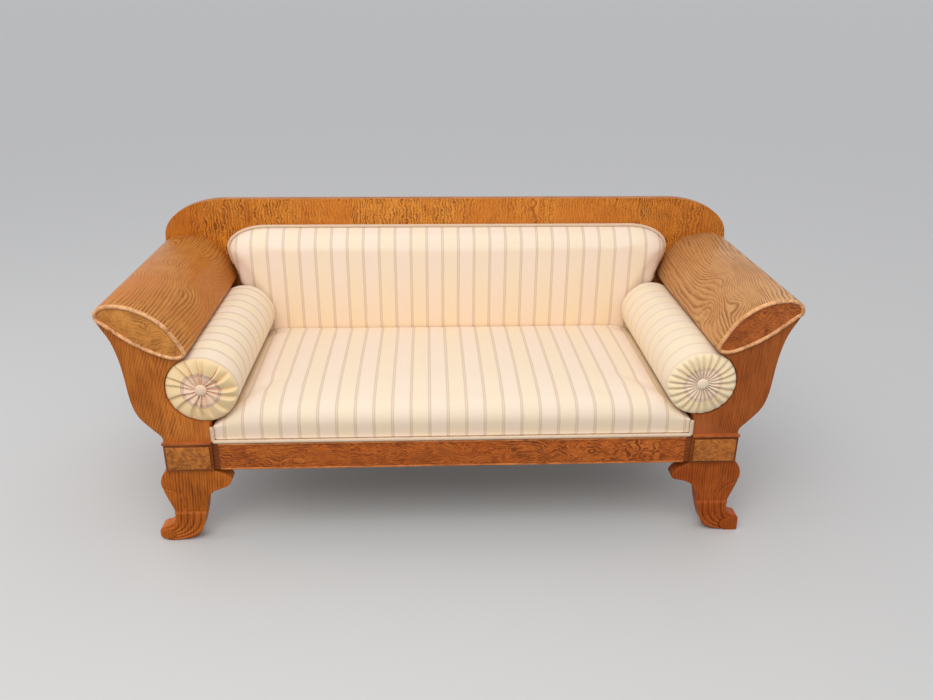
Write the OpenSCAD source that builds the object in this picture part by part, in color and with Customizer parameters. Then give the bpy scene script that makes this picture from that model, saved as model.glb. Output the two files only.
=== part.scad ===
// Show-wood settee: lens-ended scroll arms, carved scroll feet, sprung seat and two loose bolsters.
// Lengths are in millimetres. X runs along the settee to the viewer's right, the front is at -Y
// and Z points up. The origin is on the floor, in the middle of the settee's length and depth.

/* [Overall] */
// Height of the crest above the floor
crest_h = 900; // [870:5:960]
// Clear width between the two arms
seat_w = 1430; // [1200:10:1700]
// Depth from the face of the corner blocks to the face of the back
seat_d = 710; // [660:5:780]
// Height of the top edge of the seat rails
rail_top = 338; // [318:1:358]
// Height of the seat rails
rail_h = 88; // [76:1:100]

/* [Corner blocks] */
// Width of a corner block, which is also the width of an arm at its foot
block_w = 140; // [130:1:155]
// Depth of a corner block
block_d = 60; // [50:1:80]
// Thickness of the raised burr panel on a block
block_panel_t = 4; // [2:0.5:8]
// Bare border round the raised panel
block_margin = 7; // [4:0.5:15]
// Height of the moulding that caps a block
cap_h = 7; // [5:0.5:12]
// How far that moulding stands in front of the block
cap_proud = 5; // [4.5:0.5:8]

/* [Seat rails] */
// Thickness of the rails
rail_t = 30; // [24:1:40]
// How far the front rail lies behind the face of the blocks
rail_setback = 8; // [6:0.5:12]
// Thickness of the show veneers
veneer_t = 3; // [1:0.5:4]
// Height of the fine beads along the front rail
rail_bead_h = 6; // [4:0.5:9]
// How far those beads stand in front of the rail
rail_bead_proud = 6; // [3.5:0.5:7]
// Plain strip between the rail veneer and a block
rail_end_gap = 19; // [8:1:30]
// Length of the tenons on the rails
tenon_l = 20; // [14:1:24]
// Thickness of the tenons
tenon_t = 12; // [8:1:16]

/* [Front legs] */
// Thickness of the plank that a front leg is sawn from
leg_t = 42; // [36:1:50]
// Width of a front leg from its ear to its toe
leg_w = 242; // [230:1:260]
// How far the ear reaches inwards past the block
ear_reach = 50; // [40:1:60]
// How far a leg and an arm front lie behind the face of the block
board_setback = 10; // [8:0.5:14]
// Radius of the scroll at the toe
toe_r = 29; // [24:0.5:33]
// How far the scroll's eye stands in front of the leg
toe_proud = 7; // [5:0.5:9]
// Number of carved reeds on a foot
reed_n = 5; // [3:1:7]
// How far the reeds stand in front of the leg
reed_proud = 5; // [3:0.5:6]

/* [Back legs] */
// Side of the square back legs
back_leg_w = 45; // [38:1:55]
// How far the foot of a back leg rakes backwards
back_leg_rake = 45; // [30:1:70]

/* [Arms] */
// Reach of an arm from its inner face to its tip
arm_span = 278; // [260:1:300]
// Rise of an arm above the seat rails
arm_rise = 435; // [420:1:450]
// Thickness of the boards at the front and back of an arm
board_t = 28; // [22:1:36]
// Thickness of the curved shell on top of an arm
shell_t = 12; // [9:0.5:14]
// Thickness of the bent skins on the sides of an arm
skin_t = 10; // [7:0.5:14]
// Width of the rim bead on the end of an arm
bead_w = 12; // [9:0.5:13]
// How far the rim bead stands in front of the arm's board
bead_proud = 9; // [6:0.5:10]
// Thickness of the board under an arm
sill_t = 22; // [18:1:28]

/* [Bolsters] */
// Radius of a bolster
bolster_r = 104; // [98:1:108]
// How far the bolster's axis lies outside the inner face of the arm
bolster_out = 11; // [8:1:16]
// Height of the bolster's axis above the seat rails
bolster_up = 174; // [170:1:180]
// Radius of the covered buttons
button_r = 17; // [12:1:22]
// Number of pleats gathered into each end
pleat_n = 20; // [12:1:26]
// Depth of the pleats
pleat_d = 4; // [2:0.5:6]

/* [Seat] */
// Height of the seat's edge above the seat rails
seat_rise = 111; // [100:1:116]
// Extra height of the crown in the middle of the seat
seat_crown = 9; // [4:1:16]
// Reach of the roll at the front of the seat
seat_roll = 62; // [45:1:80]
// Radius of the cotton welts
welt_r = 5.5; // [4:0.5:6]
// Number of springs along the seat, two to a bay
spring_cols = 6; // [4:2:8]
// Number of springs from front to back
spring_rows = 3; // [2:1:4]
// Diameter of the spring wire
wire_d = 4; // [3:0.5:5]
// Width of the webbing
web_w = 50; // [38:1:60]
// Thickness of the webbing and the lining cloths
cloth_t = 1.4; // [1:0.2:2]

/* [Back] */
// Thickness of the frame of the back
back_t = 35; // [28:1:42]
// Height of the show band above the back pad
crest_band = 100; // [80:1:110]
// Width of the rounded shoulder at each end of the crest
shoulder_w = 220; // [180:1:260]
// Height of the rounded shoulder
shoulder_h = 130; // [110:1:150]
// Thickness of the stuffed back pad
back_pad_t = 75; // [60:1:90]
// How far the pad spreads past the inner face of each arm
back_pad_over = 66; // [58:1:72]

/* [Hidden] */
$fn = 64;

// Colours of the finishes
show_wood = [0.72, 0.42, 0.18];
burr_wood = [0.62, 0.32, 0.13];
core_wood = [0.80, 0.66, 0.45];
fabric = [0.95, 0.84, 0.68];
welt_cotton = [0.96, 0.90, 0.76];
jute = [0.66, 0.55, 0.38];
steel = [0.55, 0.56, 0.58];

// Running values
soft_gap = 0.3;
overrun = 1;
leg_h = rail_top - rail_h;
seat_half = seat_w / 2;
block_out = seat_half + block_w;
depth = cap_proud + seat_d + back_t + back_leg_rake;
face_y = cap_proud - depth / 2;
back_y = face_y + seat_d;
rear_y = back_y + back_t;
board_y = face_y + board_setback;
inner_board_y = board_y + board_t;
rear_board_y = back_y - board_t;
core_y = back_y + veneer_t;
rail_y = face_y + rail_setback;
rail_rear_y = rail_y + rail_t;
block_rear_y = face_y + block_d;
tenon_h_share = 0.68;
tenon_h = rail_h * tenon_h_share;
tenon_z = leg_h + rail_h / 2;
rail_edge = 2;
side_x = block_out - rail_edge - rail_t;

// Curves through hand-set points
function spline(a, b, c, d, t) =
  (2 * b + (c - a) * t + (2 * a - 5 * b + 4 * c - d) * t * t + (3 * b - a - 3 * c + d) * t * t * t) / 2;
function curve(k, n) = let (last = len(k) - 1) concat(
  [for (i = [0:last - 1]) for (j = [0:n - 1])
    spline(k[max(i - 1, 0)], k[i], k[i + 1], k[min(i + 2, last)], j / n)], [k[last]]);
function ring_curve(k, n) = let (m = len(k))
  [for (i = [0:m - 1]) for (j = [0:n - 1])
    spline(k[(i + m - 1) % m], k[i], k[(i + 1) % m], k[(i + 2) % m], j / n)];
function placed(shares, w, h, x, z) = [for (p = shares) [x + p[0] * w, z + p[1] * h]];
function left_of(a, b) = let (t = b - a) [-t[1], t[0]] / norm(t);
function inset_ring(p, d) = let (m = len(p))
  [for (i = [0:m - 1]) p[i] + d * left_of(p[(i + m - 1) % m], p[(i + 1) % m])];
function inset_line(p, d) = let (last = len(p) - 1)
  [for (i = [0:last]) p[i] + d * left_of(p[max(i - 1, 0)], p[min(i + 1, last)])];
function reversed(p) = [for (i = [len(p) - 1:-1:0]) p[i]];
function part_of(p, first, last) = [for (i = [first:last]) p[i]];
function strip(a, b) = concat(a, reversed(b));
function mixed(a, b, t) = a + (b - a) * t;
function clamped(v) = max(0, min(1, v));
function soft_min(a, b, k) = let (h = clamped(0.5 + (b - a) / k / 2)) mixed(b, a, h) - k * h * (1 - h);
function quarter(t) = sqrt(1 - pow(1 - clamped(t), 2));

// A flat outline in X and Z, raised from y towards the back by t
module upright(y, t) {
  translate([0, y + t, 0]) rotate([90, 0, 0]) linear_extrude(height = t) children();
}
// What is drawn for the right-hand side, or its mirror image for the left
module sided(s) {
  if (s > 0) children();
  else mirror([1, 0, 0]) children();
}
// A box between two corners
module block(a, b) {
  translate(a) cube(b - a);
}
function middle(p, i = 0) = i == len(p) - 1 ? p[i] / len(p) : p[i] / len(p) + middle(p, i + 1);
// A closed skin over a row of rings with the same number of points
module skinned(rings, joined = false) {
  m = len(rings[0]);
  n = len(rings);
  spans = joined ? n : n - 1;
  walls = [for (i = [0:spans - 1]) for (j = [0:m - 1])
    let (a = i * m + j, b = i * m + (j + 1) % m, c = (i + 1) % n * m + j, d = (i + 1) % n * m + (j + 1) % m)
      each [[a, c, b], [b, c, d]]];
  ends = joined ? [] : [for (j = [0:m - 1]) let (k = (j + 1) % m, z = (n - 1) * m)
    each [[j, k, n * m], [z + k, z + j, n * m + 1]]];
  middles = joined ? [] : [middle(rings[0]), middle(rings[n - 1])];
  polyhedron(points = concat([for (r = rings) each r], middles), faces = concat(walls, ends));
}
// Half-round moulding laid along a path on an upright face; w is its width at each point
function half_round(path, w, h, y, sides, joined) = let (last = len(path) - 1)
  [for (i = [0:last])
    let (a = joined ? path[(i + last) % (last + 1)] : path[max(i - 1, 0)],
         b = joined ? path[(i + 1) % (last + 1)] : path[min(i + 1, last)],
         across = left_of(a, b))
      [for (j = [0:sides])
        let (q = path[i] + across * w[i] / 2 * cos(180 * j / sides))
          [q[0], y - h * sin(180 * j / sides), q[1]]]];

// Seat frame

module front_rail() {
  color(core_wood) union() {
    block([-seat_half, rail_y, leg_h], [seat_half, rail_rear_y, rail_top]);
    for (s = [-1, 1]) sided(s) rail_tenon();
  }
}
module rail_tenon() {
  middle = (rail_y + rail_rear_y) / 2;
  block([seat_half - overrun, middle - tenon_t / 2, tenon_z - tenon_h / 2],
        [seat_half + tenon_l, middle + tenon_t / 2, tenon_z + tenon_h / 2]);
}
module front_rail_veneer() {
  half = seat_half - rail_end_gap;
  color(burr_wood) block([-half, rail_y - veneer_t, leg_h + rail_bead_h], [half, rail_y, rail_top - rail_bead_h]);
}
module front_rail_beads() {
  half = seat_half - rail_end_gap;
  color(show_wood) for (z = [leg_h, rail_top - rail_bead_h])
    translate([-half, rail_y, z + rail_bead_h / 2]) rotate([90, 0, 90]) linear_extrude(height = 2 * half)
      rail_bead_section();
}
module rail_bead_section() {
  nose = rail_bead_h / 2;
  flat = rail_bead_proud - nose;
  translate([-flat, -nose]) square([flat, rail_bead_h]);
  intersection() {
    translate([-flat, 0]) circle(r = nose);
    translate([-rail_bead_proud, -nose]) square([nose, rail_bead_h]);
  }
}
module back_rail() {
  reach = block_out - rail_edge - back_leg_w;
  middle = (core_y + rear_y) / 2;
  color(core_wood) union() {
    block([-reach, core_y, leg_h], [reach, rear_y, rail_top]);
    block([-reach - tenon_l, middle - tenon_t / 2, tenon_z - tenon_h / 2],
          [reach + tenon_l, middle + tenon_t / 2, tenon_z + tenon_h / 2]);
  }
}
leg_post_y = rear_y - back_leg_w;
module side_rail(s) {
  color(show_wood) sided(s) union() {
    block([side_x, block_rear_y, leg_h], [side_x + rail_t, leg_post_y, rail_top]);
    side_tenon();
  }
}
module side_tenon() {
  middle = side_x + rail_t / 2;
  block([middle - tenon_t / 2, block_rear_y - tenon_l, tenon_z - tenon_h / 2],
        [middle + tenon_t / 2, leg_post_y + tenon_l, tenon_z + tenon_h / 2]);
}
sill_z = rail_top - sill_t;
module seat_end_rail(s) {
  color(core_wood) sided(s)
    block([seat_half, block_rear_y, leg_h], [seat_half + rail_t, core_y, sill_z]);
}
sill_ledge = 25;
module arm_sill(s) {
  color(core_wood) sided(s) difference() {
    block([seat_half - sill_ledge, block_rear_y, sill_z], [side_x, core_y, rail_top]);
    dowel_holes();
    post_notch();
  }
}
module post_notch() {
  block([block_out - rail_edge - back_leg_w, leg_post_y, sill_z - overrun],
        [side_x + overrun, rear_y, rail_top + overrun]);
}
stretcher_w = 45;
stretcher_h = 60;
bay_w = (2 * (seat_half - sill_ledge) - 2 * stretcher_w) / 3;
stretcher_x = bay_w / 2 + stretcher_w / 2;
module seat_stretchers() {
  color(core_wood) for (s = [-1, 1])
    block([s * stretcher_x - stretcher_w / 2, rail_rear_y, leg_h],
          [s * stretcher_x + stretcher_w / 2, core_y, leg_h + stretcher_h]);
}
brace_leg = 70;
brace_drop = 6;
module corner_braces() {
  color(core_wood) for (s = [-1, 1]) sided(s)
    translate([0, 0, leg_h + brace_drop]) linear_extrude(height = sill_z - leg_h - 2 * brace_drop) {
      polygon([[seat_half, rail_rear_y], [seat_half - brace_leg, rail_rear_y],
               [seat_half, rail_rear_y + brace_leg]]);
      polygon([[seat_half, core_y], [seat_half, core_y - brace_leg], [seat_half - brace_leg, core_y]]);
    }
}

// Corner blocks

module corner_block(s) {
  color(show_wood) sided(s) difference() {
    block([seat_half, face_y, leg_h], [block_out, block_rear_y, rail_top]);
    rail_tenon();
    side_tenon();
    dowel_holes();
  }
}
module corner_panel(s) {
  color(burr_wood) sided(s)
    block([seat_half + block_margin, face_y - block_panel_t, leg_h + block_margin],
          [block_out - block_margin, face_y, rail_top - block_margin]);
}
module corner_cap(s) {
  nose = cap_h / 2;
  color(show_wood) sided(s) translate([seat_half, 0, rail_top + nose]) rotate([90, 0, 90])
    linear_extrude(height = block_w + cap_proud / 2) {
      translate([face_y - cap_proud + nose, -nose]) square([cap_proud + board_setback - nose, cap_h]);
      intersection() {
        translate([face_y - cap_proud + nose, 0]) circle(r = nose);
        translate([face_y - cap_proud, -nose]) square([nose, cap_h]);
      }
    }
}

// Front legs: a sawn plank with an ear, a knee and a carved scroll foot

leg_x = seat_half - ear_reach;
knee_share = [[0.787, 1], [0.847, 0.94], [0.886, 0.86], [0.893, 0.78], [0.868, 0.68], [0.826, 0.56],
              [0.779, 0.43], [0.768, 0.33], [0.798, 0.262]];
ear_share = [[0.640, 0], [0.517, 0.06], [0.450, 0.16], [0.409, 0.28], [0.372, 0.42], [0.343, 0.56],
             [0.269, 0.68], [0.145, 0.735], [0.041, 0.772], [0, 0.84], [0.017, 0.904], [0.083, 0.96],
             [0.175, 1]];
curve_steps = 3;
toe_x = leg_x + leg_w - toe_r;
module leg_outline() {
  knee = curve(placed(knee_share, leg_w, leg_h, leg_x, 0), curve_steps);
  ear = curve(placed(ear_share, leg_w, leg_h, leg_x, 0), curve_steps);
  polygon(concat(knee, [[toe_x, 2 * toe_r], [toe_x, 0]], ear));
  translate([toe_x, toe_r]) circle(r = toe_r);
}
// Each reed starts upright under the collar and turns a quarter round into the toe
collar_share = 0.43;
collar_z = leg_h * collar_share;
collar_in_share = 0.369;
collar_out_share = 0.779;
reed_steps = 10;
reed_sides = 5;
reed_gap = 0.6;
reed_sunk = 1;
function reed_path(i) =
  let (s = (i + 0.5) / reed_n,
       from = [leg_x + leg_w * mixed(collar_in_share, collar_out_share, s), collar_z],
       to = [toe_x, 2 * toe_r * s])
  [for (k = [0:reed_steps]) let (t = 90 * k / reed_steps)
    [mixed(from[0], to[0], 1 - cos(t)), mixed(from[1], to[1], sin(t))]];
function reed_widths() =
  [for (k = [0:reed_steps])
    mixed(leg_w * (collar_out_share - collar_in_share), 2 * toe_r, k / reed_steps) / reed_n - reed_gap];
module reed(i) {
  base = half_round(reed_path(i), reed_widths(), reed_proud + reed_sunk, board_y + reed_sunk, reed_sides, false);
  skinned(base);
}
module front_leg(s) {
  color(show_wood) sided(s) difference() {
    union() {
      upright(board_y, leg_t) leg_outline();
      upright(board_y - toe_proud, toe_proud + overrun) translate([toe_x, toe_r]) circle(r = toe_r);
      for (i = [0:reed_n - 1]) reed(i);
    }
    dowel_holes();
  }
}

// Back legs: a post above, raked below

rake_from_share = 0.9;
rake_foot_share = 0.85;
module back_leg(s) {
  knee_z = leg_h * rake_from_share;
  foot_y = rear_y + back_leg_rake;
  profile = [[leg_post_y, rail_top], [leg_post_y, knee_z], [foot_y - back_leg_w * rake_foot_share, 0],
             [foot_y, 0], [rear_y, knee_z], [rear_y, rail_top]];
  color(show_wood) sided(s) difference() {
    translate([block_out - rail_edge - back_leg_w, 0, 0]) rotate([90, 0, 90])
      linear_extrude(height = back_leg_w) polygon(profile);
    side_tenon();
    back_rail_tenon();
  }
}
module back_rail_tenon() {
  reach = block_out - rail_edge - back_leg_w;
  middle = (core_y + rear_y) / 2;
  block([reach - overrun, middle - tenon_t / 2, tenon_z - tenon_h / 2],
        [reach + tenon_l, middle + tenon_t / 2, tenon_z + tenon_h / 2]);
}

// Dowels: two in the foot of each arm board, two in the top of each front leg

dowel_r = 6;
dowel_l = 36;
dowel_fit = 0.1;
front_dowel_share = [0.29, 0.76];
rear_dowel_share = [0.29, 0.58];
arm_board_mid = board_t / 2;
module dowel_set(r, ends) {
  for (f = front_dowel_share) {
    translate([seat_half + block_w * f, board_y + arm_board_mid, rail_top - dowel_l / 2 - ends])
      cylinder(r = r, h = dowel_l + 2 * ends);
    translate([seat_half + block_w * f, board_y + leg_t / 2, leg_h - dowel_l / 2 - ends])
      cylinder(r = r, h = dowel_l + 2 * ends);
  }
  for (f = rear_dowel_share)
    translate([seat_half + block_w * f, rear_board_y + arm_board_mid, rail_top - dowel_l / 2 - ends])
      cylinder(r = r, h = dowel_l + 2 * ends);
}
module dowel_holes() {
  dowel_set(dowel_r + dowel_fit, dowel_fit);
}
module frame_dowels() {
  color(core_wood) for (s = [-1, 1]) sided(s) dowel_set(dowel_r, 0);
}

// Arms: an S-shaped board at each end, a lens-shaped roll on top and a round nook for the bolster

outer_share = [[0.0129, 0.050], [0.1821, 0.109], [0.4339, 0.208], [0.5427, 0.323], [0.5870, 0.480],
               [0.6414, 0.620], [0.7462, 0.748], [0.9094, 0.848], [1, 0.912]];
lens_tip_in = 41;
lens_share = [[1, 0.912], [0.9836, 0.954], [0.9155, 0.984], [0.7971, 1], [0.6070, 0.990], [0.3971, 0.944],
              [0.2070, 0.864], [0.0804, 0.766], [0, 0.679], [0.0100, 0.640], [0.0839, 0.620],
              [0.2070, 0.624], [0.3971, 0.665], [0.6070, 0.728], [0.7971, 0.806], [0.9202, 0.862],
              [0.9812, 0.884]];
shell_last_knot = 10;
core_share = [[0.484, 0.83], [0.144, 0.70]];
bolster_x = seat_half + bolster_out;
bolster_z = rail_top + bolster_up;
nook_r = bolster_r + soft_gap;
outer_line = curve(concat([[block_out, rail_top]],
                          placed(outer_share, arm_span - block_w, arm_rise, block_out, rail_top)), curve_steps);
function in_lens(shares) = placed(shares, arm_span - lens_tip_in, arm_rise, seat_half + lens_tip_in, rail_top);
lens_ring = ring_curve(in_lens(lens_share), curve_steps);
under_shell = inset_ring(lens_ring, shell_t);
shell_last = shell_last_knot * curve_steps;
module nook_cut(r) {
  translate([bolster_x, bolster_z]) circle(r = r, $fn = 96);
}
module arm_body() {
  difference() {
    polygon(concat([[seat_half, rail_top]], outer_line, [under_shell[0]], in_lens(core_share),
                   [[bolster_x, bolster_z], [seat_half, bolster_z]]));
    nook_cut(nook_r);
  }
}
module shell_section() {
  polygon(strip(part_of(lens_ring, 0, shell_last), part_of(under_shell, 0, shell_last)));
}
module arm_board() {
  difference() {
    union() {
      arm_body();
      polygon(under_shell);
    }
    shell_section();
  }
}
module arm_front(s) {
  color(show_wood) sided(s) difference() {
    upright(board_y, board_t) arm_board();
    dowel_holes();
  }
}
module arm_rear(s) {
  color(core_wood) sided(s) difference() {
    upright(rear_board_y, board_t) arm_board();
    dowel_holes();
  }
}
module arm_shell(s) {
  color(show_wood) sided(s) upright(board_y, back_y - board_y) shell_section();
}
skin_inset = 1;
module arm_side(s) {
  color(show_wood) sided(s) upright(inner_board_y, rear_board_y - inner_board_y) difference() {
    intersection() {
      polygon(strip(inset_line(outer_line, skin_inset), inset_line(outer_line, skin_inset + skin_t)));
      above(rail_top);
    }
    polygon(lens_ring);
    nook_cut(nook_r + skin_inset + skin_t);
  }
}
module arm_nook(s) {
  color(show_wood) sided(s) upright(inner_board_y, rear_board_y - inner_board_y) difference() {
    intersection() {
      arm_body();
      union() {
        nook_cut(nook_r + skin_inset + skin_t);
        translate([seat_half, rail_top]) square([skin_inset + skin_t, bolster_up]);
      }
    }
    nook_cut(nook_r + skin_inset);
    translate([seat_half, rail_top]) square([skin_inset, bolster_up]);
    polygon(lens_ring);
  }
}
stringer_w = 24;
stringer_share = [[0.508, 0.86], [0.554, 0.30]];
module arm_stringers() {
  color(core_wood) for (s = [-1, 1]) sided(s)
    for (p = in_lens(stringer_share))
      block([p[0] - stringer_w / 2, inner_board_y, p[1] - stringer_w / 2],
            [p[0] + stringer_w / 2, rear_board_y, p[1] + stringer_w / 2]);
}
panel_fit = 0.2;
module arm_end_panel(s) {
  color(burr_wood) sided(s) upright(board_y - veneer_t, veneer_t)
    offset(delta = -bead_w - panel_fit) polygon(lens_ring);
}
bead_sides = 5;
module arm_end_bead(s) {
  path = inset_ring(lens_ring, bead_w / 2);
  color(show_wood) sided(s)
    skinned(half_round(path, [for (p = path) bead_w], bead_proud, board_y, bead_sides, true), true);
}

// Back

crest_foot_share = 0.7;
crest_foot = rail_top + arm_rise * crest_foot_share;
shoulder_steps = 14;
shoulder_inset = 3;
module back_outline() {
  tip = outer_line[len(outer_line) - 1];
  reach = tip[0] - shoulder_inset;
  drop = min(shoulder_h, crest_h - tip[1]);
  shoulder = [for (k = [0:shoulder_steps]) let (t = 90 * k / shoulder_steps)
    [reach - shoulder_w * (1 - cos(t)), crest_h - drop * (1 - sin(t))]];
  half = concat(outer_line, shoulder);
  polygon(concat(half, [for (p = reversed(half)) [-p[0], p[1]]]));
}
module above(z) {
  translate([-block_out - arm_span, z]) square([2 * (block_out + arm_span), crest_h]);
}
module crest_rail() {
  color(core_wood) upright(core_y, rear_y - core_y) intersection() {
    back_outline();
    above(crest_foot);
  }
}
veneer_drop = 25;
module crest_veneer() {
  color(burr_wood) upright(back_y, veneer_t) intersection() {
    back_outline();
    above(crest_foot + veneer_drop);
  }
}
stile_in = 15;
module back_stile(s) {
  color(core_wood) sided(s) upright(core_y, rear_y - core_y) intersection() {
    difference() {
      back_outline();
      above(crest_foot);
    }
    translate([seat_half - stile_in, rail_top]) square([block_w + arm_span, crest_foot - rail_top]);
  }
}
bottom_rail_rise = 104;
bottom_rail_h = 52;
bottom_rail_z = rail_top + bottom_rail_rise;
module back_bottom_rail() {
  half = seat_half - stile_in;
  color(core_wood) block([-half, core_y, bottom_rail_z], [half, rear_y, bottom_rail_z + bottom_rail_h]);
}
muntin_w = 40;
module back_muntins() {
  gap = 2 * (seat_half - stile_in) / 3;
  color(core_wood) for (s = [-1, 1])
    block([s * gap / 2 - muntin_w / 2, core_y, bottom_rail_z + bottom_rail_h],
          [s * gap / 2 + muntin_w / 2, rear_y, crest_foot]);
}
back_web_n = 10;
module back_webbing() {
  half = seat_half - stile_in;
  step = 2 * half / back_web_n;
  color(jute) for (i = [0:back_web_n - 1])
    block([-half + step * (i + 0.5) - web_w / 2, core_y - cloth_t, bottom_rail_z],
          [-half + step * (i + 0.5) + web_w / 2, core_y, crest_foot + veneer_drop - soft_gap]);
}
lining_lap = 20;
module back_lining() {
  half = seat_half - stile_in + lining_lap;
  color(jute) block([-half, rear_y, leg_h + lining_lap], [half, rear_y + cloth_t, crest_foot + lining_lap]);
}

// Back pad: stuffed over the frame, rounded at its edges and crowned in front

pad_top = crest_h - crest_band;
pad_tuck = 70;
pad_bottom = rail_top + seat_rise - pad_tuck;
pad_side_share = [[-0.05, 0.533], [0.26, 0.584], [0.424, 0.630], [0.47, 0.6966], [0.606, 0.768],
                  [0.742, 0.832], [0.818, 0.8966]];
pad_corner_share = 1.98;
pad_steps = 2;
pad_edge_share = 0.16;
pad_round = 50;
pad_crown = 7;
pad_round_steps = 4;
function pad_half() = let (
  knots = placed(pad_side_share, back_pad_over, arm_rise, seat_half, rail_top),
  side = curve(concat([[knots[0][0], pad_bottom]], knots), pad_steps),
  from = side[len(side) - 1],
  w = back_pad_over * pad_corner_share,
  h = pad_top - from[1])
  concat(side, [for (k = [1:6]) let (t = 15 * k) [from[0] - w * (1 - cos(t)), from[1] + h * sin(t)]]);
top_points = 9;
pad_ring = let (half = pad_half(), x = half[len(half) - 1][0])
  concat(half, [for (i = [1:top_points - 1]) [x * (1 - 2 * i / top_points), pad_top]],
         [for (p = reversed(half)) [-p[0], p[1]]],
         [for (i = [1:top_points - 1]) [half[0][0] * (2 * i / top_points - 1), pad_bottom]]);
pad_half_w = seat_half + back_pad_over;
pad_mid_z = (pad_top + pad_bottom) / 2;
pad_half_h = (pad_top - pad_bottom) / 2;
function pad_slice(d, y) =
  [for (p = pad_ring) [p[0] * (1 - d / pad_half_w), y, pad_mid_z + (p[1] - pad_mid_z) * (1 - d / pad_half_h)]];
module back_pad() {
  rear = back_y - soft_gap;
  edge = back_pad_t * pad_edge_share;
  roll = back_pad_t - edge - pad_crown;
  color(fabric) skinned(concat(
    [pad_slice(0, rear)],
    [for (k = [0:pad_round_steps]) let (t = 90 * k / pad_round_steps)
      pad_slice(pad_round * (1 - cos(t)), rear - edge - roll * sin(t))],
    [pad_slice(pad_round + pad_half_h / 3, rear - back_pad_t)]));
}
// The welt follows the pad's top and sides on the face of the crest
welt_sides = 6;
welt_first_n = 5;
module back_welt() {
  half = pad_half();
  first = welt_first_n * pad_steps;
  side = part_of(half, first, len(half) - 1);
  x = side[len(side) - 1][0];
  line = concat(side, [for (i = [1:top_points - 1]) [x * (1 - 2 * i / top_points), pad_top]],
                [for (p = reversed(side)) [-p[0], p[1]]]);
  path = inset_line(line, -welt_r - soft_gap);
  last = len(path) - 1;
  rings = [for (i = [0:last]) let (across = left_of(path[max(i - 1, 0)], path[min(i + 1, last)]))
    [for (j = [0:welt_sides - 1]) let (t = 360 * (j + 0.5) / welt_sides, q = path[i] + across * welt_r * cos(t))
      [q[0], back_y - soft_gap - welt_r * (1 + sin(t)), q[1]]]];
  color(welt_cotton) skinned(rings);
}

// Seat: webbing, springs, canvas, stuffed pad and welt

spring_bay_cols = spring_cols / 3;
spring_r = 44;
spring_waist_share = 0.68;
spring_turns = 3;
spring_steps = 8;
spring_bottom = leg_h + soft_gap;
spring_top = rail_top - soft_gap;
spring_xs = [for (b = [-1, 0, 1]) for (k = [0:spring_bay_cols - 1])
  b * (bay_w + stretcher_w) + bay_w * ((k + 0.5) / spring_bay_cols - 0.5)];
spring_ys = [for (r = [0:spring_rows - 1]) mixed(rail_rear_y, core_y, (r + 0.5) / spring_rows)];
function spring_point(s) = let (
  t = 360 * spring_turns * s,
  r = spring_r * mixed(1, spring_waist_share, sin(180 * s)),
  z = mixed(spring_bottom + wire_d / 2, spring_top - wire_d / 2, s))
  [r * cos(t), r * sin(t), z];
function spring_ring(s) = let (p = spring_point(s), out = [p[0], p[1], 0] / norm([p[0], p[1]]))
  [for (j = [0:3]) p + wire_d / 2 * (out * cos(90 * j) + [0, 0, sin(90 * j)])];
spring_rings = spring_turns * spring_steps;
echo(least_gap_between_spring_turns = min([for (i = [0:spring_rings - spring_steps])
  norm(spring_point(i / spring_rings) - spring_point((i + spring_steps) / spring_rings)) - wire_d]));
module seat_springs() {
  color(steel) for (x = spring_xs) for (y = spring_ys)
    translate([x, y, 0]) skinned([for (i = [0:spring_rings]) spring_ring(i / spring_rings)]);
}
web_in = 8;
module seat_webbing() {
  color(jute) {
    for (x = spring_xs)
      block([x - web_w / 2, rail_y + web_in, leg_h - cloth_t], [x + web_w / 2, rear_y - web_in, leg_h]);
    for (y = spring_ys)
      block([-seat_half - rail_t + web_in, y - web_w / 2, leg_h - 2 * cloth_t],
            [seat_half + rail_t - web_in, y + web_w / 2, leg_h - cloth_t]);
  }
}
seat_front_y = face_y + 6;
canvas_lap = 8;
module spring_canvas() {
  half = seat_half - stile_in - soft_gap;
  color(jute) block([-half, seat_front_y + 2 * canvas_lap, rail_top],
                    [half, core_y + canvas_lap, rail_top + cloth_t]);
}
seat_top = rail_top + seat_rise;
seat_bottom = rail_top + cloth_t + soft_gap;
pad_x = seat_half - soft_gap;
seat_back_y = back_y - back_pad_t - 2 * soft_gap;
// The pad's side is pressed down along the line that touches the bolster
bed_a = -125;
bed_touch = [bolster_x, bolster_z] + (bolster_r + soft_gap) * [cos(bed_a), sin(bed_a)];
function bed_z(x) = bed_touch[1] + (x - bed_touch[0]) * -cos(bed_a) / sin(bed_a);
seat_edge_z = bed_z(pad_x);
bed_blend = 16;
seat_corner_r = 24;
groove_in = 7;
groove_z = seat_bottom + 2 * welt_r;
edge_nodes_share = [0, 0.08, 0.22, 0.42, 0.7, 1];
seat_cols = 12;
seat_rows = 7;
bed_w = 2 * (pad_x - bed_touch[0]);
seat_xs = concat([for (k = edge_nodes_share) -pad_x + bed_w * k],
                 [for (i = [1:seat_cols - 1]) mixed(-pad_x + bed_w, pad_x - bed_w, i / seat_cols)],
                 [for (k = reversed(edge_nodes_share)) pad_x - bed_w * k]);
seat_ys = concat([for (k = edge_nodes_share) seat_front_y + seat_roll * k],
                 [for (i = [1:seat_rows]) mixed(seat_front_y + seat_roll, seat_back_y, i / seat_rows)]);
function seat_z(x, y) = let (
  across = 1 - pow(x / pad_x, 2),
  along = 1 - pow(2 * (y - seat_front_y) / (seat_back_y - seat_front_y) - 1, 2),
  flat = seat_top + seat_crown * across * along,
  z = soft_min(flat, bed_z(abs(x)), bed_blend),
  front = quarter((y - seat_front_y) / seat_roll))
  seat_edge_z + (z - seat_edge_z) * front;
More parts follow.
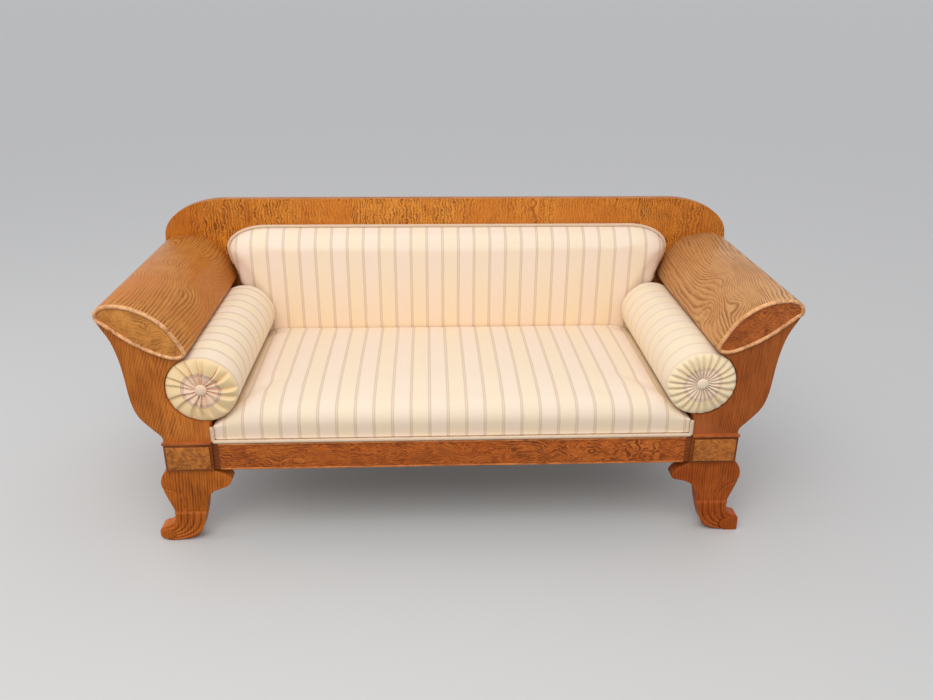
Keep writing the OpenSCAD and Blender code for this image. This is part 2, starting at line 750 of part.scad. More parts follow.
// Square corners of the plan are drawn round
function corner_pull(x, y) = let (
  a = clamped((abs(x) - pad_x + seat_corner_r) / seat_corner_r),
  b = clamped((seat_front_y + seat_corner_r - y) / seat_corner_r))
  [x < 0 ? x + seat_corner_r * a * (1 - sqrt(1 - b * b / 2)) : x - seat_corner_r * a * (1 - sqrt(1 - b * b / 2)),
   y + seat_corner_r * b * (1 - sqrt(1 - a * a / 2))];
module seat_pad() {
  nx = len(seat_xs);
  ny = len(seat_ys);
  top = [for (y = seat_ys) for (x = seat_xs) let (p = corner_pull(x, y)) [p[0], p[1], seat_z(x, y)]];
  rim = concat([for (i = [0:nx - 1]) i], [for (j = [1:ny - 1]) j * nx + nx - 1],
               [for (i = [nx - 2:-1:0]) (ny - 1) * nx + i], [for (j = [ny - 2:-1:1]) j * nx]);
  m = len(rim);
  mid_y = (seat_front_y + seat_back_y) / 2;
  half_y = (seat_back_y - seat_front_y) / 2;
  levels = [[0, groove_z + groove_in / 2], [groove_in, groove_z], [groove_in, seat_bottom]];
  walls = [for (l = levels) for (k = rim)
    [top[k][0] * (1 - l[0] / pad_x), mid_y + (top[k][1] - mid_y) * (1 - l[0] / half_y), l[1]]];
  n = nx * ny;
  cover = [for (j = [0:ny - 2]) for (i = [0:nx - 2]) let (a = j * nx + i)
    each [[a, a + nx, a + 1], [a + 1, a + nx, a + nx + 1]]];
  drop = [for (k = [0:m - 1]) let (a = rim[k], b = rim[(k + 1) % m], c = n + k, d = n + (k + 1) % m)
    each [[a, b, c], [b, d, c]]];
  lower = [for (l = [0:len(levels) - 2]) for (k = [0:m - 1])
    let (a = n + l * m + k, b = n + l * m + (k + 1) % m) each [[a, b, a + m], [b, b + m, a + m]]];
  base = [[for (k = [0:m - 1]) n + (len(levels) - 1) * m + k]];
  color(fabric) polyhedron(points = concat(top, walls), faces = concat(cover, drop, lower, base));
}
module seat_welt() {
  y = seat_front_y;
  z = rail_top + soft_gap + welt_r;
  x = seat_half - soft_gap - welt_r;
  post = seat_edge_z - z;
  color(welt_cotton) union() {
    translate([-x, y, z]) rotate([0, 90, 0]) cylinder(r = welt_r, h = 2 * x);
    for (s = [-1, 1]) {
      translate([s * x, y, z]) sphere(r = welt_r);
      translate([s * x, y, z]) cylinder(r = welt_r, h = post);
      translate([s * x, y, z + post]) sphere(r = welt_r);
    }
  }
}

// Bolsters: a round case, gathered in pleats at each end under a covered button

bolster_front = face_y + 0.5;
bolster_rear = back_y - back_pad_t - 2 * soft_gap;
button_t = 8;
dimple_rim = 1;
dimple_share = (button_r + dimple_rim) / bolster_r;
// Radius as a share of the bolster's, depth and pleat as shares of the pleat depth
end_shares = [[dimple_share, 1.2, 0], [0.38, 0.3, 0.7], [0.72, 0.3, 1], [0.92, 1.2, 0.5], [1, 3.6, 0]];
button_back = 1.1 * pleat_d;
pleat_points = 3;
function bolster_end(y, way) = [for (e = way > 0 ? end_shares : reversed(end_shares))
  [for (j = [0:pleat_n * pleat_points - 1])
    let (t = 360 * j / (pleat_n * pleat_points), fold = j % pleat_points == 0 ? e[2] : 0)
      [bolster_r * e[0] * cos(t), y + way * pleat_d * (e[1] + fold), bolster_r * e[0] * sin(t)]]];
module bolster(s) {
  front = bolster_front + button_t - button_back;
  rear = bolster_rear - button_t + button_back;
  color(fabric) sided(s) translate([bolster_x, 0, bolster_z])
    skinned(reversed(concat(bolster_end(front, 1), bolster_end(rear, -1))));
}
module button_form() {
  edge = button_t / 3;
  rotate_extrude() intersection() {
    union() {
      square([button_r - edge, button_t]);
      square([button_r, button_t - edge]);
      translate([button_r - edge, button_t - edge]) circle(r = edge);
    }
    square([button_r, button_t]);
  }
}
module bolster_buttons(s) {
  color(fabric) sided(s) translate([bolster_x, 0, bolster_z]) {
    translate([0, bolster_front + button_t, 0]) rotate([90, 0, 0]) button_form();
    translate([0, bolster_rear - button_t, 0]) rotate([-90, 0, 0]) button_form();
  }
}

front_rail();
front_rail_veneer();
front_rail_beads();
back_rail();
side_rail(-1);  // side_rail_left
side_rail(1);  // side_rail_right
seat_end_rail(-1);  // seat_end_rail_left
seat_end_rail(1);  // seat_end_rail_right
seat_stretchers();
corner_braces();
corner_block(-1);  // corner_block_left
corner_block(1);  // corner_block_right
corner_panel(-1);  // corner_panel_left
corner_panel(1);  // corner_panel_right
corner_cap(-1);  // corner_cap_left
corner_cap(1);  // corner_cap_right
front_leg(-1);  // front_leg_left
front_leg(1);  // front_leg_right
back_leg(-1);  // back_leg_left
back_leg(1);  // back_leg_right
arm_sill(-1);  // arm_sill_left
arm_sill(1);  // arm_sill_right
arm_front(-1);  // arm_front_left
arm_front(1);  // arm_front_right
arm_rear(-1);  // arm_rear_left
arm_rear(1);  // arm_rear_right
arm_shell(-1);  // arm_shell_left
arm_shell(1);  // arm_shell_right
arm_side(-1);  // arm_side_left
arm_side(1);  // arm_side_right
arm_nook(-1);  // arm_nook_left
arm_nook(1);  // arm_nook_right
arm_stringers();
arm_end_panel(-1);  // arm_end_panel_left
arm_end_panel(1);  // arm_end_panel_right
arm_end_bead(-1);  // arm_end_bead_left
arm_end_bead(1);  // arm_end_bead_right
crest_rail();
crest_veneer();
back_stile(-1);  // back_stile_left
back_stile(1);  // back_stile_right
back_bottom_rail();
back_muntins();
back_webbing();
back_pad();
back_welt();
back_lining();
seat_webbing();
seat_springs();
spring_canvas();
seat_pad();
seat_welt();
frame_dowels();
bolster(-1);  // bolster_left
bolster(1);  // bolster_right
bolster_buttons(-1);  // bolster_buttons_left
bolster_buttons(1);  // bolster_buttons_right
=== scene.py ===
# %% [markdown]
# # A show-wood settee with two loose bolsters
# The settee stands about 0.90 m high and 1.99 m long. Its frame is honey-coloured show wood with burr
# veneers, and its cover is a striped cotton. The frame arrives as solids that already have the right
# sizes, so this lesson only makes surfaces: softened edges, carving, grain, cloth and stuffing. Every
# piece goes where the solids say.

# %% Load the frame
from math import cos, exp, pi, radians, sin, sqrt
import bmesh
import bpy
import numpy as np
from mathutils import Matrix, Vector, geometry, kdtree, noise


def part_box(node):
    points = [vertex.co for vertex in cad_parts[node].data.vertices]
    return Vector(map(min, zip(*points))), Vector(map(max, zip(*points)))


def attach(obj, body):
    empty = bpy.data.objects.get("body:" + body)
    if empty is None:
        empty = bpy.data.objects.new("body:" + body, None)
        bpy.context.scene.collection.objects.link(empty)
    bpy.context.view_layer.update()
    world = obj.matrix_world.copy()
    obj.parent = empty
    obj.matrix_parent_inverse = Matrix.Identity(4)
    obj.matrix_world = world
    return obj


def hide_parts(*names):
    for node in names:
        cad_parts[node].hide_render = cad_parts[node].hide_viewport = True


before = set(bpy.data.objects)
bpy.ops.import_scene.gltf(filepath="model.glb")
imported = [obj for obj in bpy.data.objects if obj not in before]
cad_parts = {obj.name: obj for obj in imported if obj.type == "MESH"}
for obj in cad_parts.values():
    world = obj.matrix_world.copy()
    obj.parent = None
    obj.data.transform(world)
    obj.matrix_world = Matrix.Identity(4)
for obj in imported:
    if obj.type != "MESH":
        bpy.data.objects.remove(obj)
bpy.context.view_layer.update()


def stand(name, data):
    made = bpy.data.objects.new(name, data)
    bpy.context.scene.collection.objects.link(made)
    return made


# %% [markdown]
# ## The view
# The camera could be placed by eye, but then every later comparison would drift. It was worked out
# instead from the settee's straight lines, so its place and angles are written down once. The camera's
# own axes follow from three angles: a turn to the side, a tilt down and a small twist.

# %% Camera
CAMERA_PLACE = Vector((-0.06957, -2.55132, 1.56338))
TURN, TILT, TWIST = 0.047, 0.407, 0.008
FOCAL_PIXELS, FRAME_PIXELS, SENSOR, FAR = 832.171, 933, 36.0, 2000

ahead = Vector((sin(TURN) * cos(TILT), cos(TURN) * cos(TILT), -sin(TILT)))
rightward = Vector((cos(TURN), -sin(TURN), 0))
above = rightward.cross(ahead)
camera_x = rightward * cos(TWIST) + above * sin(TWIST)
camera_y = above * cos(TWIST) - rightward * sin(TWIST)
camera = stand("view", bpy.data.cameras.new("view"))
camera.data.sensor_width = SENSOR
camera.data.lens = FOCAL_PIXELS / FRAME_PIXELS * SENSOR
camera.data.clip_end = FAR
axes = Matrix((camera_x, camera_y, -ahead)).transposed().to_4x4()
camera.matrix_world = Matrix.Translation(CAMERA_PLACE) @ axes
bpy.context.scene.camera = camera
print("lens", round(camera.data.lens, 2), "mm")

# %% [markdown]
# ## A way to write finishes
# A finish is a small tree of nodes. Joining the nodes by hand takes many lines, so a recipe keeps the
# tree and offers the few steps that paint, wood and cloth need: noise, products, ramps and mixes. Every
# pattern is worked out from a point's place in metres, so grain and weave have their real size.

# %% Recipe for a finish
MIX_FACTOR, MIX_FIRST, MIX_SECOND, MIX_RESULT = 0, 6, 7, 2      # a Mix node's colour sockets


class Recipe:
    def __init__(self, name, sockets):
        self.material = bpy.data.materials.new(name)
        self.material.use_nodes = True
        self.tree = self.material.node_tree
        self.shader = self.tree.nodes["Principled BSDF"]
        for socket, value in sockets.items():
            self.shader.inputs[socket].default_value = value
        self.place = self.tree.nodes.new("ShaderNodeTexCoord").outputs["Object"]

    def put(self, socket, value):
        if isinstance(value, bpy.types.NodeSocket):
            self.tree.links.new(value, socket)
        else:
            socket.default_value = value

    def node(self, kind, inputs, out=0, **settings):
        made = self.tree.nodes.new("ShaderNode" + kind)
        for setting, value in settings.items():
            setattr(made, setting, value)
        for socket, value in inputs.items():
            self.put(made.inputs[socket], value)
        return made.outputs[out]

    def math(self, operation, *values):
        return self.node("Math", dict(enumerate(values)), operation=operation)

    def times(self, product, *factors):
        for factor in factors:
            product = self.math("MULTIPLY", product, factor)
        return product

    def vector(self, operation, *values, out=0):
        return self.node("VectorMath", dict(enumerate(values)), out, operation=operation)

    def axis(self, place, letter):
        return self.node("SeparateXYZ", {0: place}, letter)

    def noise(self, place, scale, detail=2.0, roughness=0.5, out="Fac"):
        return self.node("TexNoise", {"Vector": place, "Scale": scale, "Detail": detail,
                                      "Roughness": roughness}, out)

    def span(self, value, low, high, to_low=0.0, to_high=1.0):
        return self.node("MapRange", {"Value": value, "From Min": low, "From Max": high,
                                      "To Min": to_low, "To Max": to_high})

    def ramp(self, value, stops):
        made = self.tree.nodes.new("ShaderNodeValToRGB")
        self.put(made.inputs["Fac"], value)
        points = made.color_ramp.elements
        for at, grey in stops[2:]:
            points.new(at)
        for point, (at, grey) in zip(points, stops):
            point.position, point.color = at, (grey, grey, grey, 1)
        return made.outputs["Color"]

    def mix(self, amount, first, second, blend="MIX"):
        colours = [c if isinstance(c, bpy.types.NodeSocket) else (*c, 1) for c in (first, second)]
        return self.node("Mix", {MIX_FACTOR: amount, MIX_FIRST: colours[0], MIX_SECOND: colours[1]},
                         MIX_RESULT, data_type="RGBA", blend_type=blend)

    def finish(self, colour, height=None, depth=0.0003, roughness=None):
        self.put(self.shader.inputs["Base Color"], colour)
        if roughness is not None:
            self.put(self.shader.inputs["Roughness"], roughness)
        if height is not None:
            bump = self.node("Bump", {"Height": height, "Distance": depth}, "Normal")
            self.put(self.shader.inputs["Normal"], bump)
        return self.material


print("a recipe can:", ", ".join(sorted(step for step in vars(Recipe) if step[0] != "_")))

# %% [markdown]
# ## A place to stand, and light
# A wide pale floor is enough: the camera looks down, so the floor fills the picture. What the floor
# throws back onto the settee is kept lower than what the camera sees, because a pale floor would light
# the underside too much. One broad soft lamp above and in front gives the light of an open door, a
# smaller one on the left models the rolls, and the pale sky fills the shadows. Their sum is kept near
# the level at which a colour looks as it is written.

# %% Floor, sky and lamps
FLOOR_HALF = 400.0
FLOOR_COLOUR, FLOOR_BOUNCE = (0.62, 0.61, 0.59), (0.30, 0.30, 0.30)
SKY_COLOUR, SKY_STRENGTH = (0.93, 0.95, 1.0, 1), 0.80
LAMP_TARGET = Vector((0, 0, 0.4))

floor_mesh = bpy.data.meshes.new("floor")
floor_mesh.from_pydata([(x, y, 0) for x in (-FLOOR_HALF, FLOOR_HALF) for y in (-FLOOR_HALF, FLOOR_HALF)],
                       [], [(0, 2, 3, 1)])
floor = stand("floor", floor_mesh)
paint = Recipe("floor_paint", {"Roughness": 0.8})
seen = paint.math("MAXIMUM", *(paint.node("LightPath", {}, f"Is {way} Ray") for way in ("Camera", "Glossy")))
floor.data.materials.append(paint.finish(paint.mix(seen, FLOOR_BOUNCE, FLOOR_COLOUR)))

world = bpy.data.worlds.new("sky")
bpy.context.scene.world = world
world.use_nodes = True
world.node_tree.nodes["Background"].inputs["Color"].default_value = SKY_COLOUR
world.node_tree.nodes["Background"].inputs["Strength"].default_value = SKY_STRENGTH


def soft_lamp(name, place, size, power, colour):
    lamp = bpy.data.lights.new(name, "AREA")
    lamp.shape, lamp.size, lamp.energy, lamp.color = "SQUARE", size, power, colour
    holder = stand(name, lamp)
    holder.location = place
    holder.rotation_euler = (LAMP_TARGET - Vector(place)).to_track_quat("-Z", "Y").to_euler()


soft_lamp("door_light", (-0.6, -2.6, 3.6), 2.6, 67, (1, 0.985, 0.96))
soft_lamp("side_light", (-3.6, -0.6, 2.2), 1.6, 14, (0.95, 0.98, 1))
bpy.context.scene.view_settings.view_transform = "Standard"
print("lamps:", [lamp.name for lamp in bpy.data.lights])

# %% [markdown]
# ## Show wood
# Wood shows its growth rings. On a board they are the distance from the heart of the trunk, so the
# finish measures how far a point lies from a leaning line, the heart. Each ring has a pale early line
# and a dark late one, and every ring its own depth. Slow noise, stretched along the grain, lets the
# lines sway, and quick noise makes a burr. Where a branch grew, the rings run round the knot instead,
# with a ragged bark about it. Pores, cross-grain ripple and paler worn edges come on top.

# %% Wood finish
HEART_LINE, PORE_SCALES, FIBRE_SCALES, SWAY_SCALE, GRAIN_SHARE = 400, (9, 190), (14, 520), 4.2, 0.22
KNOT_SHAPE, KNOT_SWAY = (1, 0.7, 0.5), 0.3
BARK = [(0, 0.8), (0.10, 0.7), (0.20, 0.0), (0.40, 0.0), (0.50, 0.60), (0.60, 0.0)]
EARLY = [(0.06, 0.0), (0.20, 1.0), (0.42, 0.0)]
LATE = [(0, 0.30), (0.16, 0.0), (0.50, 0.15), (0.78, 0.85), (0.90, 1.0), (1, 0.3)]
BLUSH, FIBRE_DEPTH, GRAIN_DEPTH = (0.80, 0.60, 0.42), 0.22, 0.0003


def along_grain(way, with_grain, across):
    return [with_grain if letter == way else across for letter in "xyz"]


def grain_distance(r, place, bent, along, heart, lean, knots):
    trunk = r.node("Mapping", {"Vector": bent, "Location": heart, "Rotation": lean,
                               "Scale": along_grain(along, HEART_LINE, 1)}, vector_type="TEXTURE")
    distance, core = r.vector("LENGTH", trunk, out="Value"), 0.0
    knot_place = r.vector("MULTIPLY_ADD", r.vector("SUBTRACT", bent, place), (KNOT_SWAY,) * 3, place)
    ragged = r.span(r.noise(place, 34, 3), 0.3, 0.7, -0.16, 0.16)
    for x, y, z, size, rise in knots:
        offset = r.vector("MULTIPLY", r.vector("SUBTRACT", knot_place, (x, y, z)), KNOT_SHAPE)
        reach = r.math("DIVIDE", r.vector("LENGTH", offset, out="Value"), size)
        swell = r.math("EXPONENT", r.times(reach, reach, -1.0))
        distance = r.math("MULTIPLY_ADD", swell, rise, distance)
        core = r.math("MAXIMUM", core, r.ramp(r.math("ADD", reach, ragged), BARK))
    return distance, core


def show_wood(name, pale, deep, along, heart, lean=(0, 0, 0), ring=0.0080, sway=0.012, waver=0.002,
              waver_scale=20.0, curl=0.0, curl_scale=30.0, knots=(), ripple=0.0, contrast=0.60,
              streak=0.22, mottle=0.35, mottle_scale=9.0, blush=0.35, leaf=0.0, glint=0.5,
              lift=(1.15, 1.38, 1.75), painted_end_shade=None, gloss=0.42, shine=0.28, top=0.75):
    r = Recipe(name, {"Specular IOR Level": shine, "Roughness": gloss})
    place = r.place
    if leaf:
        sheet = r.math("FLOOR", r.math("DIVIDE", r.axis(place, "X"), leaf))
        place = r.vector("ADD", place, r.node("CombineXYZ", {"Z": sheet}))
    bent, grain_place = place, r.vector("MULTIPLY", place, along_grain(along, GRAIN_SHARE, 1))
    for scale, reach, spot in ((SWAY_SCALE, sway, grain_place), (waver_scale, waver, grain_place),
                               (curl_scale, curl, place)):
        if reach:
            drift = r.vector("SUBTRACT", r.noise(spot, scale, 2.0, out="Color"), (0.5, 0.5, 0.5))
            bent = r.vector("MULTIPLY_ADD", drift, (reach * 4,) * 3, bent)
    distance, core = grain_distance(r, place, bent, along, heart, lean, knots)
    count = r.math("DIVIDE", distance, ring)
    phase = r.math("FRACT", count)
    own_depth = r.node("TexWhiteNoise", {"W": r.math("FLOOR", count)}, noise_dimensions="1D")
    patchy = r.span(r.noise(place, 15, 2), 0.35, 0.62, 0.45, 1.0)
    late = r.times(r.ramp(phase, LATE), patchy, r.span(own_depth, 0, 1, 0.5, 1.0))
    pores, fibre = (r.noise(r.vector("MULTIPLY", bent, along_grain(along, *scales)), 1.0, 2)
                    for scales in (PORE_SCALES, FIBRE_SCALES))
    cloud = r.noise(place, mottle_scale, 4, 0.62)
    tone = r.math("MULTIPLY_ADD", late, contrast, r.span(cloud, 0.36, 0.64, 0, mottle))
    for lines, depth in ((pores, streak), (fibre, FIBRE_DEPTH)):
        tone = r.math("MULTIPLY_ADD", r.span(lines, 0.38, 0.62, -0.5, 0.5), depth, tone)
    if ripple:
        waves = r.node("TexWave", {"Vector": bent, "Scale": 40, "Distortion": 5, "Detail": 2,
                                   "Detail Scale": 1.6}, "Fac", bands_direction=along.upper())
        tone = r.math("MULTIPLY_ADD", r.math("SUBTRACT", waves, 0.5), ripple, tone)
    tone = r.math("MAXIMUM", tone, r.times(core, r.span(r.noise(place, 22, 2), 0.42, 0.56)))
    bright = [min(1, c * k) for c, k in zip(pale, lift)]
    colour = r.mix(r.span(tone, 0.12, -0.22, 0, glint), pale, bright)
    colour = r.mix(r.span(tone, 0.05, top), colour, deep)
    colour = r.mix(r.times(r.ramp(phase, EARLY), patchy, glint), colour, bright)
    redder = [c * k for c, k in zip(pale, BLUSH)]
    colour = r.mix(r.times(r.span(r.noise(place, 4.5, 2), 0.38, 0.62), blush), colour, redder)
    # painted shade: the colour darkens towards both ends of the piece, where less light falls
    if painted_end_shade:
        from_middle = r.math("ABSOLUTE", r.axis(r.place, "X"))
        colour = r.mix(r.span(from_middle, *painted_end_shade[:2]), colour, painted_end_shade[2], "MULTIPLY")
    worn = r.span(r.node("NewGeometry", {}, "Pointiness"), 0.515, 0.62, 0, 0.5)
    colour = r.mix(worn, colour, [min(1, c * 1.3 + 0.04) for c in pale])
    height = r.math("MULTIPLY_ADD", late, -0.6, fibre)
    return r.finish(colour, height, GRAIN_DEPTH, r.span(cloud, 0.3, 0.7, gloss - 0.06, gloss + 0.08))


print("bark, early and late wood:", len(BARK), len(EARLY), len(LATE), "stops")

# %% [markdown]
# ## The woods of this settee
# Two settings carry most of a wood's character: how far apart its rings lie, and how much they sway or
# curl. The plain boards have quiet, straight grain, the veneers a curl at the scale of a fingernail. An
# old piece also differs from end to end, so left and right are separate woods: the left roll is more
# golden, the right one greyer. Knots are listed by place, size and rise where the real rolls have them,
# and the crest gets painted shade towards its shoulders, where less of the lamps' light reaches.

# %% Mix the woods
ROLL = dict(mottle_scale=6, top=0.8, shine=0.22)
BOARD = dict(ring=0.0070, contrast=0.42, mottle=0.28, shine=0.15, top=0.72)
LEG = dict(waver=0.0025, contrast=0.40, streak=0.15, shine=0.12)
BURR = dict(ring=0.0085, sway=0.03, curl=0.014, curl_scale=26, mottle_scale=24, shine=0.2, top=0.95)
TRIM = dict(ring=0.006, contrast=0.4, mottle_scale=30, shine=0.2)
WOODS = {      # pale colour, deep colour, way of the grain, place of the heart, and what else is special
    "arm_top_left": ((0.605, 0.240, 0.042), (0.20, 0.048, 0.004), "y", (-1.16, 0, 0.95), dict(
        ROLL, lean=(-0.05, 0, 0.03), ring=0.0100, sway=0.022, waver=0.0035, mottle=0.26, blush=0.75,
        contrast=0.85,
        knots=[(-0.918, 0.018, 0.768, 0.065, 0.085), (-0.813, 0.034, 0.720, 0.065, 0.080),
               (-0.814, -0.106, 0.720, 0.016, 0.014), (-0.963, 0.275, 0.768, 0.045, 0.04)])),
    "arm_top_right": ((0.63, 0.322, 0.115), (0.20, 0.055, 0.008), "y", (1.15, 0, 0.95), dict(
        ROLL, lean=(0.05, 0, -0.04), ring=0.0098, sway=0.030, waver=0.0060, waver_scale=12, curl=0.0015,
        curl_scale=22, mottle=0.25, blush=0.45, contrast=1.00,
        knots=[(0.848, -0.123, 0.747, 0.060, 0.070), (0.789, -0.212, 0.691, 0.040, 0.040),
               (0.836, -0.314, 0.737, 0.040, 0.045)])),
    "board_left": ((0.57, 0.170, 0.024), (0.145, 0.032, 0.002), "z", (-1.25, -0.3, 0.4), dict(
        BOARD, lean=(0, 0.30, 0), sway=0.018)),
    "board_right": ((0.42, 0.108, 0.019), (0.110, 0.022, 0.002), "z", (1.25, -0.3, 0.4), dict(
        BOARD, lean=(0, -0.34, 0), sway=0.016)),
    "crest_burr": ((0.72, 0.260, 0.0325), (0.19, 0.040, 0.003), "z", (-3.0, 0.3, 0), dict(
        ring=0.0110, sway=0.02, waver=0.0030, waver_scale=50, curl=0.0075, curl_scale=40, ripple=0.22,
        contrast=0.90, streak=0.24, mottle=0.30, mottle_scale=22, blush=0.55, leaf=0.17,
        # painted shade on the crest's shoulders
        painted_end_shade=(0.40, 0.80, (0.84, 0.76, 0.58)), shine=0.18, top=0.85)),
    "rail_burr": ((0.50, 0.115, 0.0120), (0.095, 0.014, 0.001), "x", (0, -0.1, 1.1), dict(
        ring=0.0085, sway=0.05, waver=0.010, waver_scale=18, curl=0.020, curl_scale=15, contrast=0.40,
        streak=0.75, mottle=0.55, mottle_scale=20, leaf=0.31, glint=0.85, lift=(1.35, 1.9, 3.6), shine=0.12,
        top=0.78)),
    "block_burr": ((0.565, 0.186, 0.031), (0.145, 0.034, 0.003), "x", (0, -0.1, 1.1), dict(
        sway=0.02, curl=0.014, curl_scale=34, contrast=0.30, mottle=0.70, mottle_scale=75, shine=0.15,
        top=0.85)),
    "lens_left": ((0.69, 0.278, 0.056), (0.20, 0.055, 0.006), "x", (0, -0.1, 1.4), dict(
        BURR, contrast=0.30, mottle=0.55,
        knots=[(-0.968, -0.385, 0.728, 0.030, 0.02), (-0.783, -0.385, 0.640, 0.030, 0.02)])),
    "lens_right": ((0.555, 0.150, 0.028), (0.11, 0.018, 0.003), "x", (0, -0.1, 1.4), dict(
        BURR, contrast=0.35, mottle=0.6,
        knots=[(0.925, -0.385, 0.735, 0.030, 0.02), (0.795, -0.385, 0.640, 0.030, 0.02)])),
    "leg_left": ((0.585, 0.155, 0.0195), (0.135, 0.026, 0.002), "z", (-1.30, -0.3, 0.1), dict(
        LEG, lean=(0, 0.05, 0))),
    "leg_right": ((0.47, 0.103, 0.0145), (0.105, 0.018, 0.002), "z", (1.30, -0.3, 0.1), dict(
        LEG, lean=(0, -0.05, 0))),
    "bead_wood": ((0.94, 0.500, 0.220), (0.36, 0.120, 0.030), "x", (0, 0, 0.9), dict(
        ring=0.006, sway=0.03, curl=0.012, curl_scale=60, contrast=0.40, mottle=0.65, mottle_scale=45,
        top=1.0)),
    "rail_bead_wood": ((0.66, 0.225, 0.055), (0.16, 0.035, 0.004), "x", (0, 0, 0.9), dict(TRIM, mottle=0.6)),
    "cap_wood": ((0.47, 0.120, 0.0185), (0.12, 0.022, 0.002), "x", (0, 0, 0.9), dict(TRIM, mottle=0.5)),
    "edge_wood": ((0.25, 0.060, 0.008), (0.08, 0.014, 0.002), "x", (0, 0.3, 0.9), dict(
        ring=0.007, contrast=0.4, shine=0.15)),
    "back_wood": ((0.53, 0.185, 0.040), (0.20, 0.060, 0.010), "x", (0, 0.9, 1.6), dict(
        ring=0.009, sway=0.03, contrast=0.55, shine=0.2)),
    "frame_pine": ((0.66, 0.40, 0.180), (0.33, 0.16, 0.050), "x", (0, 0.8, -0.5), dict(
        contrast=0.5, gloss=0.6)),
}
wood = {name: show_wood(name, *row[:4], **row[4]) for name, row in WOODS.items()}
print("woods:", ", ".join(wood))

# %% [markdown]
# ## Pieces from the solids
# Most of the frame already has its final shape. A machine-sharp edge still looks false, because real
# boards are broken with a scraper and rounded by wear. Each show piece is therefore a copy of its
# solid, with its corners joined, its flat faces merged, and a small bevel that catches the light.

# %% Copy, soften and place
SIDES = {"left": -1, "right": 1}
JOIN_GAP, FLAT_ANGLE, BEVEL_ANGLE = 1e-5, radians(0.5), radians(30)


def settle(piece, finish, solid, body="root"):
    piece.data.materials.clear()
    piece.data.materials.append(finish)
    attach(piece, body)
    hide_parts(solid)
    return piece


def new_piece(name, points, faces):
    mesh = bpy.data.meshes.new(name)
    mesh.from_pydata([tuple(float(c) for c in p) for p in points], [], faces)
    mesh.shade_smooth()
    return stand(name, mesh)


def rework(mesh, *jobs):
    work = bmesh.new()
    work.from_mesh(mesh)
    for job in jobs:
        job(work)
    work.to_mesh(mesh)
    work.free()
    return mesh


def join_corners(work):
    bmesh.ops.remove_doubles(work, verts=work.verts, dist=JOIN_GAP)


def merge_flats(work):
    bmesh.ops.dissolve_limit(work, angle_limit=FLAT_ANGLE, verts=work.verts, edges=work.edges)


def dressed(name, solid, finish, edge):
    piece = stand(name, rework(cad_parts[solid].data.copy(), join_corners, merge_flats))
    piece.data.shade_smooth()
    bevel = piece.modifiers.new("broken_edge", "BEVEL")
    bevel.width, bevel.segments, bevel.harden_normals = edge, 3, True
    bevel.limit_method, bevel.angle_limit = "ANGLE", BEVEL_ANGLE
    return settle(piece, finish, solid)


# %% [markdown]
# ## Rails, blocks and back frame
# The front rail is a pine board with a burr veneer between two fine beads, and each corner block has a
# raised burr panel under a small cap moulding. Veneer patterns differ from board to board, so each
# face has its own finish rather than one wood for all. The rolls of the arms grow a little fuller
# towards the back, as old bent boards do, and only their upper round is moved.

# %% Show frame
SIDE_PIECES = (      # name, solid, wood, slot, broken edge
    ("arm_roll", "arm_shell", "arm_top_{}", "show_wood", 0.002),
    ("arm_front", "arm_front", "board_{}", "show_wood", 0.0018),
    ("arm_outer_skin", "arm_side", "board_{}", "show_wood", 0.0008),
    ("arm_nook_skin", "arm_nook", "board_{}", "show_wood", 0.0008),
    ("arm_rear", "arm_rear", "back_wood", "core_wood", 0.0015),
    ("lens_panel", "arm_end_panel", "lens_{}", "burr_veneer", 0.0006),
    ("block", "corner_block", "edge_wood", "show_wood", 0.0015),
    ("block_panel", "corner_panel", "block_burr", "burr_veneer", 0.0018),
    ("block_cap", "corner_cap", "cap_wood", "show_wood", 0.0006),
    ("back_leg", "back_leg", "board_{}", "show_wood", 0.002),
    ("side_rail", "side_rail", "board_{}", "show_wood", 0.0018),
    ("back_stile", "back_stile", "back_wood", "core_wood", 0.002))
LONG_PIECES = (
    ("front_rail_core", "front_rail", "edge_wood", "core_wood", 0.0015),
    ("front_rail_burr", "front_rail_veneer", "rail_burr", "burr_veneer", 0.0008),
    ("front_rail_beading", "front_rail_beads", "rail_bead_wood", "show_wood", 0.0004),
    ("crest_board", "crest_rail", "back_wood", "core_wood", 0.003),
    ("crest_burr_face", "crest_veneer", "crest_burr", "burr_veneer", 0.0012),
    ("back_seat_rail", "back_rail", "back_wood", "core_wood", 0.0015))
HIDDEN = ("seat_end_rail_left", "seat_end_rail_right", "seat_stretchers", "corner_braces", "arm_sill_left",
          "arm_sill_right", "arm_stringers", "back_bottom_rail", "back_muntins", "frame_dowels")
FULLER_IN, FULLER_UP, ROLL_X, ROLL_SPREAD = 0.005, 0.011, 0.835, 0.075
SHELL_FRONT, SHELL_DEEP = -0.38, 0.73
LIP_X, LIP_Z, LIP_SLOPE, LIP_BLEND = 0.756, 0.64, 0.30, 0.03      # the nook's lip; below it nothing changes


def fuller_behind(piece, mirror):
    for vertex in piece.data.vertices:
        x, z = mirror * vertex.co.x, vertex.co.z
        behind = max(0.0, (vertex.co.y - SHELL_FRONT) / SHELL_DEEP)
        above_nook = min(1.0, max(0.0, (z - LIP_Z - LIP_SLOPE * (x - LIP_X)) / LIP_BLEND))
        round_roll = exp(-(((x - ROLL_X) / ROLL_SPREAD) ** 2)) * above_nook
        vertex.co.x -= mirror * FULLER_IN * behind * round_roll
        vertex.co.z += FULLER_UP * behind * round_roll


for side, mirror in SIDES.items():
    for name, solid, kind, slot, edge in SIDE_PIECES:
        finish = wood[kind.format(side)]
        piece = dressed(f"{side}_{name}", f"{solid}_{side}", finish, edge)
        if name in ("arm_roll", "arm_rear"):
            fuller_behind(piece, mirror)
for name, solid, kind, slot, edge in LONG_PIECES:
    dressed(name, solid, wood[kind], edge)
for solid in HIDDEN:
    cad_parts[solid].data.materials.clear()
    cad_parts[solid].data.materials.append(wood["frame_pine"])

